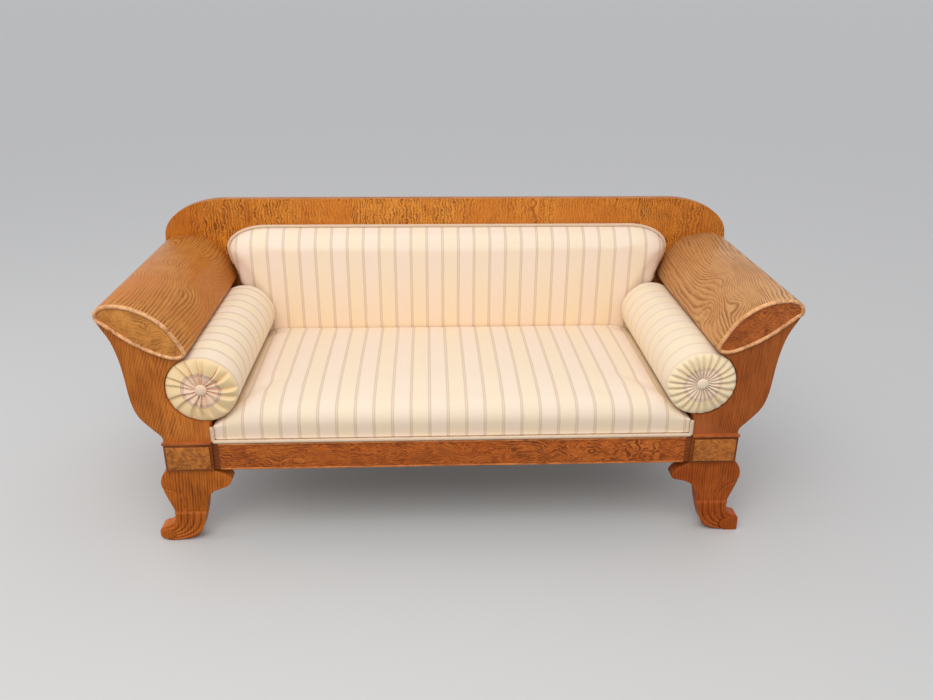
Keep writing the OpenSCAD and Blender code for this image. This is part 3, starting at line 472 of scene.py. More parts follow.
# %% [markdown]
# ## Lines drawn once
# The solids were drawn from a few tables of points, given as shares of a width and a height. The same
# tables are repeated here with more points between them, so that the carved and sewn pieces follow the
# same curves more smoothly. Tubes, beads and sheets are all skins of four-cornered faces over rows of
# points, so one function numbers the faces of every one.

# %% Curves and skins
def placed(shares, width, height, x, z):
    return np.array(shares) * (width, height) + (x, z)


def through(marks, steps, ring=False):
    n = len(marks)
    pick = (lambda k: marks[k % n]) if ring else (lambda k: marks[min(max(k, 0), n - 1)])
    line = []
    for k in range(n if ring else n - 1):
        a, b, c, d = (pick(k + j) for j in (-1, 0, 1, 2))
        for t in np.arange(steps) / steps:
            line.append((2 * b + (c - a) * t + (2 * a - 5 * b + 4 * c - d) * t**2
                         + (3 * b - a - 3 * c + d) * t**3) / 2)
    return np.array(line if ring else line + [marks[-1]])


def evenly(line, step, ring=False):
    line = np.vstack([line, line[:1]]) if ring else np.array(line)
    run = np.r_[0, np.cumsum(np.linalg.norm(np.diff(line, axis=0), axis=1))]
    at = np.linspace(0, run[-1], max(3, round(run[-1] / step)) + 1)
    points = np.column_stack([np.interp(at, run, line[:, k]) for k in range(line.shape[1])])
    return points[:-1] if ring else points


def leftwards(line, ring=False):
    t = np.roll(line, -1, axis=0) - np.roll(line, 1, axis=0) if ring else np.gradient(line, axis=0)
    t = t / np.linalg.norm(t, axis=1)[:, None]
    return np.column_stack([-t[:, 1], t[:, 0]])


def mirrored(line):
    return np.vstack([line, (line * np.r_[-1, np.ones(line.shape[1] - 1)])[::-1]])


def distance_to(line, points, ring=False):
    best = np.full(len(points), np.inf)
    for start, end in zip(line, np.roll(line, -1, axis=0) if ring else line[1:]):
        reach = end - start
        t = np.clip((points - start) @ reach / (reach @ reach), 0, 1)
        best = np.minimum(best, np.linalg.norm(points - start - t[:, None] * reach, axis=1))
    return best


def quarter(t):
    return np.sqrt(1 - (1 - np.clip(t, 0, 1)) ** 2)


def skin(rows, across, start=0, closed=True, looped=False):
    faces = []
    for k in range(rows if looped else rows - 1):
        a, b = start + k * across, start + (k + 1) % rows * across
        faces += [(a + j, a + (j + 1) % across, b + (j + 1) % across, b + j)
                  for j in range(across if closed else across - 1)]
    return faces


def capped(rows, across, start=0):
    first, last = range(start, start + across), range(start + (rows - 1) * across, start + rows * across)
    return skin(rows, across, start) + [tuple(reversed(first)), tuple(last)]


print("a square as a skin:", skin(2, 2, closed=False))

# %% [markdown]
# ## A board with relief
# A board is cut from a closed line. Its face gets many small triangles, with a few close rows along the
# edge where the light turns, and a relief lifts them, which is how carving is told from sawing.

# %% Carved boards
ROW_SHARE = 0.87      # rows of even-sided triangles stand this much of a step apart


def within(points, ring):
    hit = np.zeros(len(points), bool)
    for a, b in zip(ring, np.roll(ring, -1, axis=0)):
        if a[1] != b[1]:
            crosses = (a[1] > points[:, 1]) != (b[1] > points[:, 1])
            hit ^= crosses & (points[:, 0] < a[0] + (points[:, 1] - a[1]) * (b[0] - a[0]) / (b[1] - a[1]))
    return hit


def face_points(ring, step, rows):
    low, high = ring.min(axis=0), ring.max(axis=0)
    xs, zs = np.arange(low[0], high[0], step), np.arange(low[1], high[1], step * ROW_SHARE)
    inner = np.array([(x + (k % 2) * step / 2, z) for k, z in enumerate(zs) for x in xs])
    inner = inner[within(inner, ring)]
    inner = inner[distance_to(ring, inner, True) > rows[-1] + step * 0.45]
    for row in rows:
        line = ring + leftwards(ring, True) * row
        inner = np.vstack([line[distance_to(ring, line, True) > row * 0.93], inner])
    return inner


def carved_board(name, ring, front, back, relief, step, rows=(0.0005, 0.0013, 0.0026), flipped=False):
    ring = evenly(ring, step, ring=True)
    if np.sum(ring[:, 0] * np.roll(ring[:, 1], -1) - np.roll(ring[:, 0], -1) * ring[:, 1]) < 0:
        ring = ring[::-1]
    n = len(ring)
    flat = [Vector(p) for p in np.vstack([ring, face_points(ring, step, rows)])]
    points, _, faces, origin, _, _ = geometry.delaunay_2d_cdt(flat, [], [list(range(n))], 1, 1e-7)
    points = np.array([tuple(p) for p in points])
    ring_at = {source: k for k, sources in enumerate(origin) for source in sources if source < n}
    rim, m = [ring_at[k] for k in range(n)], len(points)
    lift = relief(points[:, 0], points[:, 1], distance_to(ring, points, True))
    every = np.vstack([np.column_stack([points[:, 0], front - lift, points[:, 1]]),
                       np.column_stack([ring[:, 0], np.full(n, back), ring[:, 1]])])
    walls = [(rim[k], m + k, m + (k + 1) % n, rim[(k + 1) % n]) for k in range(n)]
    faces = [tuple(f) for f in faces] + walls + [tuple(m + k for k in reversed(range(n)))]
    if flipped:
        every[:, 0] *= -1
        faces = [tuple(reversed(f)) for f in faces]
    piece = new_piece(name, every, faces)
    piece.data.set_sharp_from_angle(angle=radians(50))
    return piece


# %% [markdown]
# ## Front legs
# Each front leg is sawn from one plank: an ear towards the middle, a knee, and below a raised collar
# line five reeds that run down and turn a quarter round into the toe. The two legs were carved by hand
# and differ: the left toe is a disc, the right one a proud block with a square end, and ears, collar
# lines and veins have their own tables. Each point of the face is asked which reed it is on, by looking
# up the nearest point of a dense set of reed lines, and it is lifted by the reed's round section there.

# %% Lines of the front legs
LEG_X, LEG_W, LEG_H, LEG_T = 0.665, 0.242, 0.250, 0.042
BOARD_Y, TOE_R, REEDS, REED_PROUD = -0.3825, 0.029, 5, 0.0070
TOE_X, TOE_FLAT, BLOCK_TOE = LEG_X + LEG_W - TOE_R, 0.87, 0.016
REED_SIDES, REED_GAP = (0.369, 0.779), 0.0012
EDGE_ROUND, VEIN_DEPTH, VEIN_WIDTH = 0.0028, 0.0030, 0.0021
COLLAR_Z = {"left": 0.41 * LEG_H, "right": 0.43 * LEG_H}
KNEE = [[0.787, 1], [0.847, 0.94], [0.886, 0.86], [0.893, 0.78], [0.868, 0.68], [0.826, 0.56], [0.779, 0.43],
        [0.768, 0.33], [0.798, 0.25]]
SHANK = [[0.640, 0], [0.517, 0.06], [0.450, 0.16], [0.409, 0.28], [0.372, 0.42], [0.343, 0.56], [0.269, 0.67]]
EARS = {"left": [[0.150, 0.722], [0.075, 0.757], [0.022, 0.83], [0.040, 0.880], [0.108, 0.925],
                 [0.190, 0.957], [0.26, 1]],
        "right": [[0.150, 0.722], [0.050, 0.742], [0.010, 0.785], [0.034, 0.840], [0.086, 0.896],
                  [0.200, 0.957], [0.27, 1]]}
VEINS = {"left": [[[0.89, 0.735], [0.80, 0.71], [0.738, 0.69], [0.682, 0.614], [0.66, 0.525], [0.649, 0.44]],
                  [[0.771, 0.956], [0.749, 0.867], [0.693, 0.74], [0.638, 0.614], [0.605, 0.45]]],
         "right": [[[0.88, 0.72], [0.829, 0.69], [0.713, 0.618], [0.655, 0.545], [0.62, 0.444]],
                   [[0.76, 0.98], [0.715, 0.86], [0.655, 0.70], [0.59, 0.48]]]}
TOES = {      # middle x and z, half width, half height, and how proud it stands
    "left": (TOE_X + 0.004, 0.021, 0.024, 0.019, 0.0035),
    "right": (TOE_X - 0.010, 0.022, 0.033, 0.025, 0.0075)}


def leg_line(table, steps):
    return through(placed(table, LEG_W, LEG_H, LEG_X, 0), steps)


toe_arc = [(TOE_X + TOE_R * sin(a), TOE_FLAT * TOE_R * (1 + cos(a)))
           for a in np.linspace(0, pi, 25)]
block_toe = [p for p in toe_arc[:13] if p[0] < TOE_X + BLOCK_TOE] + [(TOE_X + BLOCK_TOE, 0)]
leg_ring = {side: np.vstack([leg_line(KNEE, 8), toe, leg_line(SHANK + EARS[side], 8)])
            for side, toe in (("left", toe_arc), ("right", block_toe))}
print("points round the left leg:", len(leg_ring["left"]))

# %% [markdown]
# ## Carving the legs
# The relief of a leg is worked out in the order of the carver: the edge is rounded, the reeds are cut
# as half rounds with round tops, the toe is left standing proud, and the veins of the knee come last.

# %% Carve the front legs
LEG_STEP, REED_BEND, REED_RISE, REED_TOP, REED_GROOVE = 0.0023, 1.4, 0.9, 0.010, 0.0006
TOE_ROUND, TOE_EDGE, TOE_END, TOE_CLEAR = 0.0015, 0.008, 0.96, 1.06      # the last two are shares of its size


def reed_lines(tip_x, tip_z, collar_z):
    s, t = np.meshgrid(np.linspace(0, 1, 121), np.linspace(0, pi / 2, 140))
    from_x = LEG_X + LEG_W * (REED_SIDES[0] + (REED_SIDES[1] - REED_SIDES[0]) * s)
    x = from_x + (tip_x - from_x) * (1 - np.cos(t)) ** REED_BEND
    z = collar_z + (2 * tip_z * s - collar_z) * np.sin(t)
    spots = kdtree.KDTree(x.size)
    for k, spot in enumerate(zip(x.ravel(), z.ravel())):
        spots.insert((*spot, 0), k)
    spots.balance()
    return spots, s.ravel(), t.ravel()


def leg_carving(side):
    toe_x, toe_z, toe_w, toe_h, toe_proud = TOES[side]
    collar_z = COLLAR_Z[side]
    spots, reed_s, reed_t = reed_lines(toe_x, toe_z, collar_z)

    def relief(x, z, edge):
        lift = -EDGE_ROUND * (1 - quarter(edge / EDGE_ROUND))
        for k, (px, pz) in enumerate(zip(x, z)):
            _, index, gap = spots.find((px, pz, 0))
            if gap < REED_GAP:
                across = abs(2 * (reed_s[index] * REEDS % 1) - 1)
                start = max(0.0, 1 - reed_t[index] * collar_z * REED_RISE / REED_TOP)
                top = 1 - across**2 - start**2
                lift[k] = max(lift[k], REED_PROUD * sqrt(top)) if top > 0 else min(lift[k], -REED_GROOVE)
        reach = np.hypot((x - toe_x) / toe_w, (z - toe_z) / toe_h)
        if side == "right":
            reach = np.where(x > toe_x, abs(z - toe_z) / toe_h, reach)
        toe = toe_proud + TOE_ROUND * (quarter((1 - reach) * toe_h / TOE_EDGE) - 1)
        lift = np.where(reach < TOE_END, toe, np.where(reach < TOE_CLEAR, np.minimum(lift, 0.0), lift))
        for vein in VEINS[side]:
            gap = distance_to(leg_line(vein, 12), np.column_stack([x, z]))
            lift -= VEIN_DEPTH * np.exp(-((gap / VEIN_WIDTH) ** 2))
        return lift

    return relief


for side, mirror in SIDES.items():
    leg = carved_board(f"{side}_front_leg", leg_ring[side], BOARD_Y, BOARD_Y + LEG_T,
                       leg_carving(side), LEG_STEP, flipped=mirror < 0)
    settle(leg, wood[f"leg_{side}"], f"front_leg_{side}")
print("leg faces:", len(leg.data.polygons))

# %% [markdown]
# ## Rim beads of the arm ends
# A half-round bead frames each lens-shaped arm end. On an old piece it is chipped where hands and
# doors met it, at the outer point most of all. The bead is one swept half round whose height follows
# slow noise, and it sinks low in a few short places that get knocked.

# %% Sweep the rim beads
ARM_IN, ARM_W, ARM_Z, ARM_H, BEAD_W, BEAD_PROUD, BEAD_SIDES = 0.756, 0.237, 0.338, 0.435, 0.012, 0.009, 9
LENS = [[1, 0.912], [0.9836, 0.954], [0.9155, 0.984], [0.7971, 1], [0.6070, 0.990], [0.3971, 0.944],
        [0.2070, 0.864], [0.0804, 0.766], [0, 0.679], [0.0100, 0.640], [0.0839, 0.620], [0.2070, 0.624],
        [0.3971, 0.665], [0.6070, 0.728], [0.7971, 0.806], [0.9202, 0.862], [0.9812, 0.884]]
KNOCKS = {"left": [(0.966, 0.762, 0.010, 0.6), (0.985, 0.731, 0.009, 0.65), (0.945, 0.700, 0.006, 0.5)],
          "right": [(0.978, 0.757, 0.008, 0.6), (0.880, 0.772, 0.006, 0.45), (0.975, 0.712, 0.007, 0.5)]}
BEAD_SEEDS = {"left": 2.0, "right": 7.0}
BEAD_STEP, WORN_SLOWLY, WORN_QUICKLY = 0.0025, 0.14, 0.05
lens_ring = evenly(through(placed(LENS, ARM_W, ARM_H, ARM_IN, ARM_Z), 12, ring=True), 0.0015, ring=True)


def rim_bead(side, mirror):
    seed = BEAD_SEEDS[side]
    inner = lens_ring + leftwards(lens_ring, True) * BEAD_W / 2
    path = evenly(inner[distance_to(lens_ring, inner, True) > BEAD_W / 2 * 0.985], BEAD_STEP, ring=True)
    points = []
    for p, across in zip(path, leftwards(path, True)):
        slow, quick = (noise.noise((p[0] * scale, p[1] * scale, seed)) for scale in (60, 300))
        wear = 1 - WORN_SLOWLY * slow - WORN_QUICKLY * abs(quick)
        for x, z, size, depth in KNOCKS[side]:
            wear -= depth * exp(-(((p[0] - x) ** 2 + (p[1] - z) ** 2) / size**2) ** 2)
        for a in (pi * j / (BEAD_SIDES - 1) for j in range(BEAD_SIDES)):
            q = p + across * (BEAD_W / 2) * cos(a) * (0.9 + 0.1 * wear)
            points.append((mirror * q[0], BOARD_Y - BEAD_PROUD * wear * sin(a), q[1]))
    faces = skin(len(path), BEAD_SIDES, looped=True)
    piece = new_piece(f"{side}_rim_bead", points, faces if mirror < 0 else [f[::-1] for f in faces])
    piece.data.set_sharp_from_angle(angle=radians(60))
    return piece


for side, mirror in SIDES.items():
    settle(rim_bead(side, mirror), wood["bead_wood"], f"arm_end_bead_{side}")
print("lens ring points:", len(lens_ring))

# %% [markdown]
# ## The striped cover
# The cotton is woven in wide pink and yellow bands, parted by narrow double lines. Printing it by
# place would bend the stripes wherever the cushion bulges, so every point of a cushion remembers
# where it lay on the flat cloth: its stripe number, and how far along the stripe it is. The finish
# reads these two numbers, and the weave and its slubs follow them too.

# %% Cloth finishes
PITCH = 0.0555
LINE_EDGE, LINE_SPLIT, LINE_MIDDLE = (0.0054, 0.0042), (0.0006, 0.0018), 0.45
SLUB, SOIL, WEAVE_DEPTH = (0.78, 0.58, 0.42), (0.84, 0.62, 0.42), 0.0003
COTTONS = {      # yellow band, pink band, line, and between which heights a warmer painted shade is laid
    "cover": ((0.915, 0.760, 0.553), (0.915, 0.757, 0.600), (0.730, 0.560, 0.420),
              (0.43, 0.36, (1.0, 0.94, 0.88))),
    # the back is the cover cloth made a little lighter as painted light on the upright pad, with painted warm
    # shade low down
    "back": ((0.955, 0.795, 0.590), (0.955, 0.792, 0.637), (0.750, 0.580, 0.435),
             (0.68, 0.46, (1.0, 0.935, 0.83))),
    "left_bolster": ((0.925, 0.770, 0.540), (0.925, 0.762, 0.575), (0.750, 0.580, 0.410)),
    "right_bolster": ((0.925, 0.778, 0.548), (0.925, 0.768, 0.568), (0.830, 0.670, 0.480)),
    # painted shade: the bolster ends and buttons get a darker, deeper copy of the cloth, as they face away
    # from the sky
    "left_end_painted_shade": ((0.935, 0.690, 0.370), (0.935, 0.675, 0.475), (0.660, 0.440, 0.320)),
    "right_end_painted_shade": ((0.945, 0.770, 0.495), (0.945, 0.765, 0.585), (0.790, 0.600, 0.440))}
PLAIN = {        # light, dark, and width of a thread
    "welt_cotton": ((0.98, 0.755, 0.535), (0.92, 0.68, 0.465), 0.004),
    "jute_web": ((0.42, 0.30, 0.16), (0.26, 0.17, 0.08), 0.012),
    "canvas_cloth": ((0.50, 0.41, 0.28), (0.36, 0.28, 0.18), 0.008),
    "lining_cotton": ((0.58, 0.52, 0.42), (0.46, 0.40, 0.31), 0.006)}


def lay_cloth(piece, stripe, along):
    for name, values in (("stripe", stripe), ("along", along)):
        laid = piece.data.attributes.new(name, "FLOAT", "POINT")
        laid.data.foreach_set("value", np.asarray(values, dtype=np.float32))


def striped_cotton(name, yellow, pink, line_colour, low=None):
    r = Recipe(name, {"Roughness": 0.80, "Sheen Weight": 0.10, "Sheen Roughness": 0.5,
                      "Specular IOR Level": 0.25})
    stripe, along = (r.node("Attribute", {}, "Fac", attribute_name=number) for number in ("stripe", "along"))
    stripe = r.math("ADD", stripe, r.times(r.math("SUBTRACT", r.noise(r.place, 24, 2), 0.5), 0.035))
    pink_share = r.times(r.math("FRACT", r.times(r.math("FLOOR", stripe), 0.5)), 2)
    from_line = r.math("ABSOLUTE", r.math("SUBTRACT", r.math("FRACT", r.math("ADD", stripe, 0.5)), 0.5))
    from_line = r.times(from_line, PITCH)
    line = r.times(r.span(from_line, *LINE_EDGE), r.span(from_line, *LINE_SPLIT, LINE_MIDDLE, 1))
    cloth_place = r.node("CombineXYZ", {"X": r.times(stripe, PITCH), "Y": along})
    warp = r.noise(r.vector("MULTIPLY", cloth_place, (900, 14, 1)), 1.0, 2)
    weft = r.noise(r.vector("MULTIPLY", cloth_place, (30, 1100, 1)), 1.0, 1)
    colour = r.mix(line, r.mix(pink_share, yellow, pink), line_colour)
    colour = r.mix(r.times(r.span(warp, 0.35, 0.7), 0.10), colour, SLUB)
    colour = r.mix(r.times(r.span(r.noise(r.place, 3.5, 3), 0.35, 0.7), 0.08), colour, SOIL)
    # painted shade: warmer and darker towards the bottom of the seat's front and of the back pad
    if low:
        colour = r.mix(r.span(r.axis(r.place, "Z"), *low[:2]), colour, low[2], "MULTIPLY")
    return r.finish(colour, r.math("MULTIPLY_ADD", weft, 0.5, r.times(warp, 0.7)), WEAVE_DEPTH)


def plain_cloth(name, colour, dark, thread):
    r = Recipe(name, {"Roughness": 0.85, "Sheen Weight": 0.1, "Specular IOR Level": 0.25})
    weave = r.times(*(r.node("TexWave", {"Vector": r.place, "Scale": 1 / thread, "Distortion": 1.5}, "Fac",
                             bands_direction=way) for way in "XZ"))
    tone = r.math("MULTIPLY_ADD", weave, 0.4, r.times(r.noise(r.place, 9, 3), 0.6))
    return r.finish(r.mix(tone, colour, dark), weave, thread * 0.2)


cloth = {f"{name}_cotton": striped_cotton(f"{name}_cotton", *row) for name, row in COTTONS.items()}
cloth.update({name: plain_cloth(name, *row) for name, row in PLAIN.items()})
print("cloths:", ", ".join(cloth))

# %% [markdown]
# ## Stuffing
# A cushion is a bag under pressure. Blender's cloth can blow a piece up against its own cover, while
# the tacked edges stay held, and the result has the soft hollows that a drawn shape lacks. Each point
# may only move a little, so the cushion keeps its size.

# %% Stuff a piece
FRAMES = 20


def read_points(piece):
    return np.array([v.co for v in piece.data.vertices])


def write_points(piece, points):
    piece.data.vertices.foreach_set("co", np.asarray(points, dtype=np.float32).ravel())
    piece.data.update()


def as_shown(piece):
    return piece.evaluated_get(bpy.context.evaluated_depsgraph_get())


def stuff(piece, held, pressure, most):
    before = read_points(piece)
    piece.vertex_groups.new(name="held").add([int(k) for k in held], 1.0, "REPLACE")
    filling = piece.modifiers.new("stuffing", "CLOTH")
    filling.settings.vertex_group_mass = "held"
    filling.settings.use_pressure = True
    filling.settings.uniform_pressure_force = pressure
    filling.settings.effector_weights.gravity = 0
    filling.settings.quality = 4
    filling.point_cache.frame_start, filling.point_cache.frame_end = 1, FRAMES
    for step in range(1, FRAMES + 1):
        bpy.context.scene.frame_set(step)
    move = read_points(as_shown(piece)) - before
    reach = np.linalg.norm(move, axis=1)
    move *= np.minimum(1, most / np.maximum(reach, 1e-9))[:, None]
    piece.modifiers.remove(filling)
    piece.vertex_groups.clear()
    write_points(piece, before + move)
    bpy.context.scene.frame_set(1)
    print(piece.name, "swelled at most", round(float(np.linalg.norm(move, axis=1).max()) * 1000, 1), "mm")


def fill_holes(work):
    bmesh.ops.holes_fill(work, edges=work.edges, sides=0)


def smooth_once(piece):
    finer = piece.modifiers.new("finer", "SUBSURF")
    finer.levels = finer.render_levels = 1
    smoothed = bpy.data.meshes.new_from_object(as_shown(piece))
    piece.modifiers.remove(finer)
    piece.data = rework(smoothed, fill_holes)


print("stuffing:", f"{FRAMES} frames a piece")

# %% [markdown]
# ## Seat pad
# The seat is stuffed over the frame: crowned on top, rolled over the front edge and pulled down to the
# welt. At each side the loose bolster presses a slope into it. The pad is a grid of points that
# follows these shapes, the front roll in equal turns of its quarter circle so that it stays round.

# %% Make the seat pad
SEAT_FRONT, SEAT_BACK, PAD_X, SEAT_TOP, CROWN, FRONT_ROLL = -0.3865, 0.2419, 0.7147, 0.449, 0.009, 0.062
SEAT_LOW, GROOVE_IN, GROOVE_Z, CORNER_R, SLOPE_BLEND = 0.3397, 0.007, 0.3498, 0.012, 0.016
BOLSTER_X, BOLSTER_Z, BOLSTER_R = 0.726, 0.512, 0.104
SEAT_STRIPE, SEAT_STRIPE_START = 0.0547, 0.0194
NEAR_EDGE = np.array([0, 0.006, 0.014, 0.024, 0.036, 0.050, 0.066, 0.084, 0.104])      # closer columns there
MIDDLE_FROM, MIDDLE_COLUMNS, TOP_ROWS, SKIRT = 0.120, 86, 38, (0.25, 0.5, 0.75, 0.96, 1.0)
STRIPE_LEAN, LEAN_X, LEAN_DEEP = 0.012, 0.25, 0.63      # the stripes lean outwards at the right rear
SMALL_GAP = 0.0012
BED, BED_R = radians(-125), BOLSTER_R + 0.0003      # where the slope touches the bolster
bed_x, bed_height = BOLSTER_X + BED_R * cos(BED), BOLSTER_Z + BED_R * sin(BED)


def bed_z(x):
    return bed_height - (x - bed_x) * cos(BED) / sin(BED)


def soft_min(a, b, k):
    h = np.clip(0.5 + (b - a) / k / 2, 0, 1)
    return b + (a - b) * h - k * h * (1 - h)


def seat_pad():
    edge_z = float(bed_z(PAD_X))
    xs = np.r_[-PAD_X + NEAR_EDGE, np.linspace(-PAD_X + MIDDLE_FROM, PAD_X - MIDDLE_FROM, MIDDLE_COLUMNS),
               (PAD_X - NEAR_EDGE)[::-1]]
    turns = np.linspace(0, pi / 2, 10)
    ys = np.r_[SEAT_FRONT + FRONT_ROLL * (1 - np.cos(turns)),
               np.linspace(SEAT_FRONT + FRONT_ROLL, SEAT_BACK - 0.004, TOP_ROWS)[1:], SEAT_BACK]
    rise = np.r_[np.sin(turns), np.ones(len(ys) - len(turns))]
    x, y = np.meshgrid(xs, ys)
    across, along = 1 - (x / PAD_X) ** 2, 1 - (2 * (y - SEAT_FRONT) / (SEAT_BACK - SEAT_FRONT) - 1) ** 2
    z = soft_min(SEAT_TOP + CROWN * across * along, bed_z(abs(x)), SLOPE_BLEND)
    z = edge_z + (z - edge_z) * rise[:, None]
    a = np.clip((abs(x) - PAD_X + CORNER_R) / CORNER_R, 0, 1)
    b = np.clip((SEAT_FRONT + CORNER_R - y) / CORNER_R, 0, 1)
    top = np.stack([x - np.sign(x) * CORNER_R * a * (1 - np.sqrt(1 - b * b / 2)),
                    y + CORNER_R * b * (1 - np.sqrt(1 - a * a / 2)), z], axis=-1).reshape(-1, 3)
    rows, cols = x.shape
    grid = np.arange(rows * cols).reshape(rows, cols)
    rim = np.r_[grid[0], grid[1:, -1], grid[-1, -2::-1], grid[-2:0:-1, 0]]
    levels = [(0, edge_z + (GROOVE_Z + SMALL_GAP - edge_z) * t) for t in SKIRT]
    levels += [(GROOVE_IN * 0.5, GROOVE_Z), (GROOVE_IN, GROOVE_Z), (GROOVE_IN, SEAT_LOW)]
    lean = STRIPE_LEAN * np.clip((x - LEAN_X) / LEAN_X, 0, 1) * np.clip((y - SEAT_FRONT) / LEAN_DEEP, 0, 1)
    stripe = (x + lean).ravel()
    run = np.r_[FRONT_ROLL * turns, FRONT_ROLL * pi / 2 + (ys[len(turns):] - ys[len(turns) - 1])]
    length = np.repeat(run, cols)
    mid, deep = (SEAT_FRONT + SEAT_BACK) / 2, (SEAT_BACK - SEAT_FRONT) / 2
    points, stripes, lengths, loops = [top], [stripe], [length], [rim.tolist()]
    for k, (inset, level) in enumerate(levels):
        drawn_in = mid + (top[rim, 1] - mid) * (1 - inset / deep)
        points.append(np.c_[top[rim, 0] * (1 - inset / PAD_X), drawn_in, np.full(len(rim), level)])
        stripes.append(stripe[rim])
        lengths.append(length[rim] - (edge_z - level))
        loops.append([rows * cols + k * len(rim) + m for m in range(len(rim))])
    faces = skin(rows, cols, closed=False)
    for upper, lower in zip(loops, loops[1:]):
        n = len(upper)
        faces += [(upper[(k + 1) % n], upper[k], lower[k], lower[(k + 1) % n]) for k in range(n)]
    held = sum(loops[-3:], grid[-1].tolist())
    return new_piece("seat_cushion", np.vstack(points), faces), np.hstack(stripes), np.hstack(lengths), held


seat, seat_stripe, seat_length, seat_held = seat_pad()
stuff(seat, seat_held, 3.0, 0.007)
seat_points = read_points(seat)
for mirror in SIDES.values():
    dx, dz = seat_points[:, 0] - mirror * BOLSTER_X, seat_points[:, 2] - BOLSTER_Z
    reach = np.hypot(dx, dz)
    clear = np.maximum(reach, BOLSTER_R + SMALL_GAP) / reach
    seat_points[:, 0], seat_points[:, 2] = mirror * BOLSTER_X + dx * clear, BOLSTER_Z + dz * clear
seat_points[:, 0] = np.clip(seat_points[:, 0], -PAD_X, PAD_X)
seat_points[:, 1] = np.minimum(seat_points[:, 1], SEAT_BACK)
write_points(seat, seat_points)
lay_cloth(seat, (seat_stripe + SEAT_STRIPE_START) / SEAT_STRIPE, seat_length)
smooth_once(seat)
settle(seat, cloth["cover_cotton"], "seat_pad")
print("seat pad points:", len(seat.data.vertices))

# %% [markdown]
# ## Back pad
# The back is one long pad, tacked round a curved outline: straight below, drawn in round the arms,
# and rounded at the top corners. It is cut like a board from its outline, then lifted in a quarter
# round from the tack line, with a slow crown, and stuffed.

# %% Make the back pad
PAD_REAR, PAD_LOW, PAD_HIGH, PAD_EDGE, PAD_ROUND, PAD_CROWN = 0.3172, 0.379, 0.800, 0.012, 0.056, 0.007
PAD_SIDE = [[-0.05, 0.533], [0.26, 0.584], [0.424, 0.630], [0.47, 0.6966], [0.606, 0.768], [0.742, 0.832],
            [0.818, 0.8966]]
PAD_LOW_X, PAD_SIDE_X, PAD_SIDE_W, SIDE_STEPS, CORNER_SHARE = 0.708, 0.715, 0.066, 6, 1.98
BACK_STRIPE, BACK_STRIPE_START, CROWN_FROM, CROWN_OVER, FULL_ROLL = 0.055, 0.024, 0.03, 0.17, 1.25
ROLL_WIDTH = [0.62, 0.74], [0.028, 0.050]      # height, width of the rolled edge there
side_marks = np.vstack([[(PAD_LOW_X, PAD_LOW)], placed(PAD_SIDE, PAD_SIDE_W, ARM_H, PAD_SIDE_X, ARM_Z)])
side_line = through(side_marks, SIDE_STEPS)
corner_w, corner_h = PAD_SIDE_W * CORNER_SHARE, PAD_HIGH - side_line[-1][1]
corner = [(side_line[-1][0] - corner_w * (1 - cos(a)), side_line[-1][1] + corner_h * sin(a))
          for a in np.linspace(0, pi / 2, 16)[1:]]
half_ring = np.vstack([side_line, corner])


def pad_relief(x, z, edge):
    crown = np.clip((edge - CROWN_FROM) / CROWN_OVER, 0, 1)
    roll = np.interp(z, *ROLL_WIDTH)
    return PAD_ROUND * quarter(edge / roll) ** FULL_ROLL + PAD_CROWN * crown * (2 - crown)


back_pad = carved_board("back_cushion", mirrored(half_ring), PAD_REAR - PAD_EDGE, PAD_REAR, pad_relief, 0.013,
                        rows=(0.0015, 0.004, 0.008, 0.013, 0.020, 0.030))
stuff(back_pad, np.flatnonzero(read_points(back_pad)[:, 1] > PAD_REAR - PAD_EDGE - 0.001), 2.5, 0.005)
back_points = read_points(back_pad)
back_points[:, 1] = np.maximum(back_points[:, 1], SEAT_BACK + 0.0006)
write_points(back_pad, back_points)
lay_cloth(back_pad, (back_points[:, 0] + BACK_STRIPE_START) / BACK_STRIPE, back_points[:, 2])
settle(back_pad, cloth["back_cotton"], "back_pad")
print("back pad points:", len(back_points))

# %% [markdown]
# ## Welts
# A welt is a cord sewn into a strip of cloth. It hides the tacks along the front rail and round the
# back. Each one is a tube along its path, a little uneven, as a hand-sewn one is.

# %% Sew the welts
def tube_points(path, radius, sides, uneven, seed):
    tangent = np.gradient(path, axis=0)
    tangent /= np.linalg.norm(tangent, axis=1)[:, None]
    upright = Vector((0, 1, 0)) if abs(tangent[0][1]) < 0.9 else Vector((1, 0, 0))
    points = []
    for place, way in zip(path, tangent):
        t = Vector(way)
        upright = (upright - t * upright.dot(t)).normalized()
        u, v = np.array(upright), np.array(t.cross(upright))
        slow, quick = noise.noise((*(place * 70),)), noise.noise((*(place * 240 + seed),))
        r = radius * (1 + uneven * slow + uneven * quick)
        points += [place + u * r * cos(a) + v * r * sin(a)
                   for a in (2 * pi * j / sides for j in range(sides))]
    return points


WELT_R, WELT_SIDES, WELT_UNEVEN, WELT_BEND, WELT_GAP = 0.0055, 10, 0.04, 0.006, 0.0003
RAIL_TOP, CREST_FACE, WELT_FROM = 0.3383, 0.3175, 5      # the back's welt starts at its side's fifth mark
welt_x, welt_z = PAD_X - WELT_R, RAIL_TOP + WELT_R
post = [(welt_x, SEAT_FRONT, z) for z in np.linspace(float(bed_z(PAD_X)), welt_z + WELT_BEND, 12)]
bend = [(welt_x - WELT_BEND * (1 - cos(a)), SEAT_FRONT, welt_z + WELT_BEND - WELT_BEND * sin(a))
        for a in np.linspace(0, pi / 2, 5)[1:]]
run = [(x, SEAT_FRONT, welt_z) for x in np.arange(welt_x - 2 * WELT_BEND, 0, -WELT_BEND)]
seat_path = mirrored(np.array(post + bend + run))

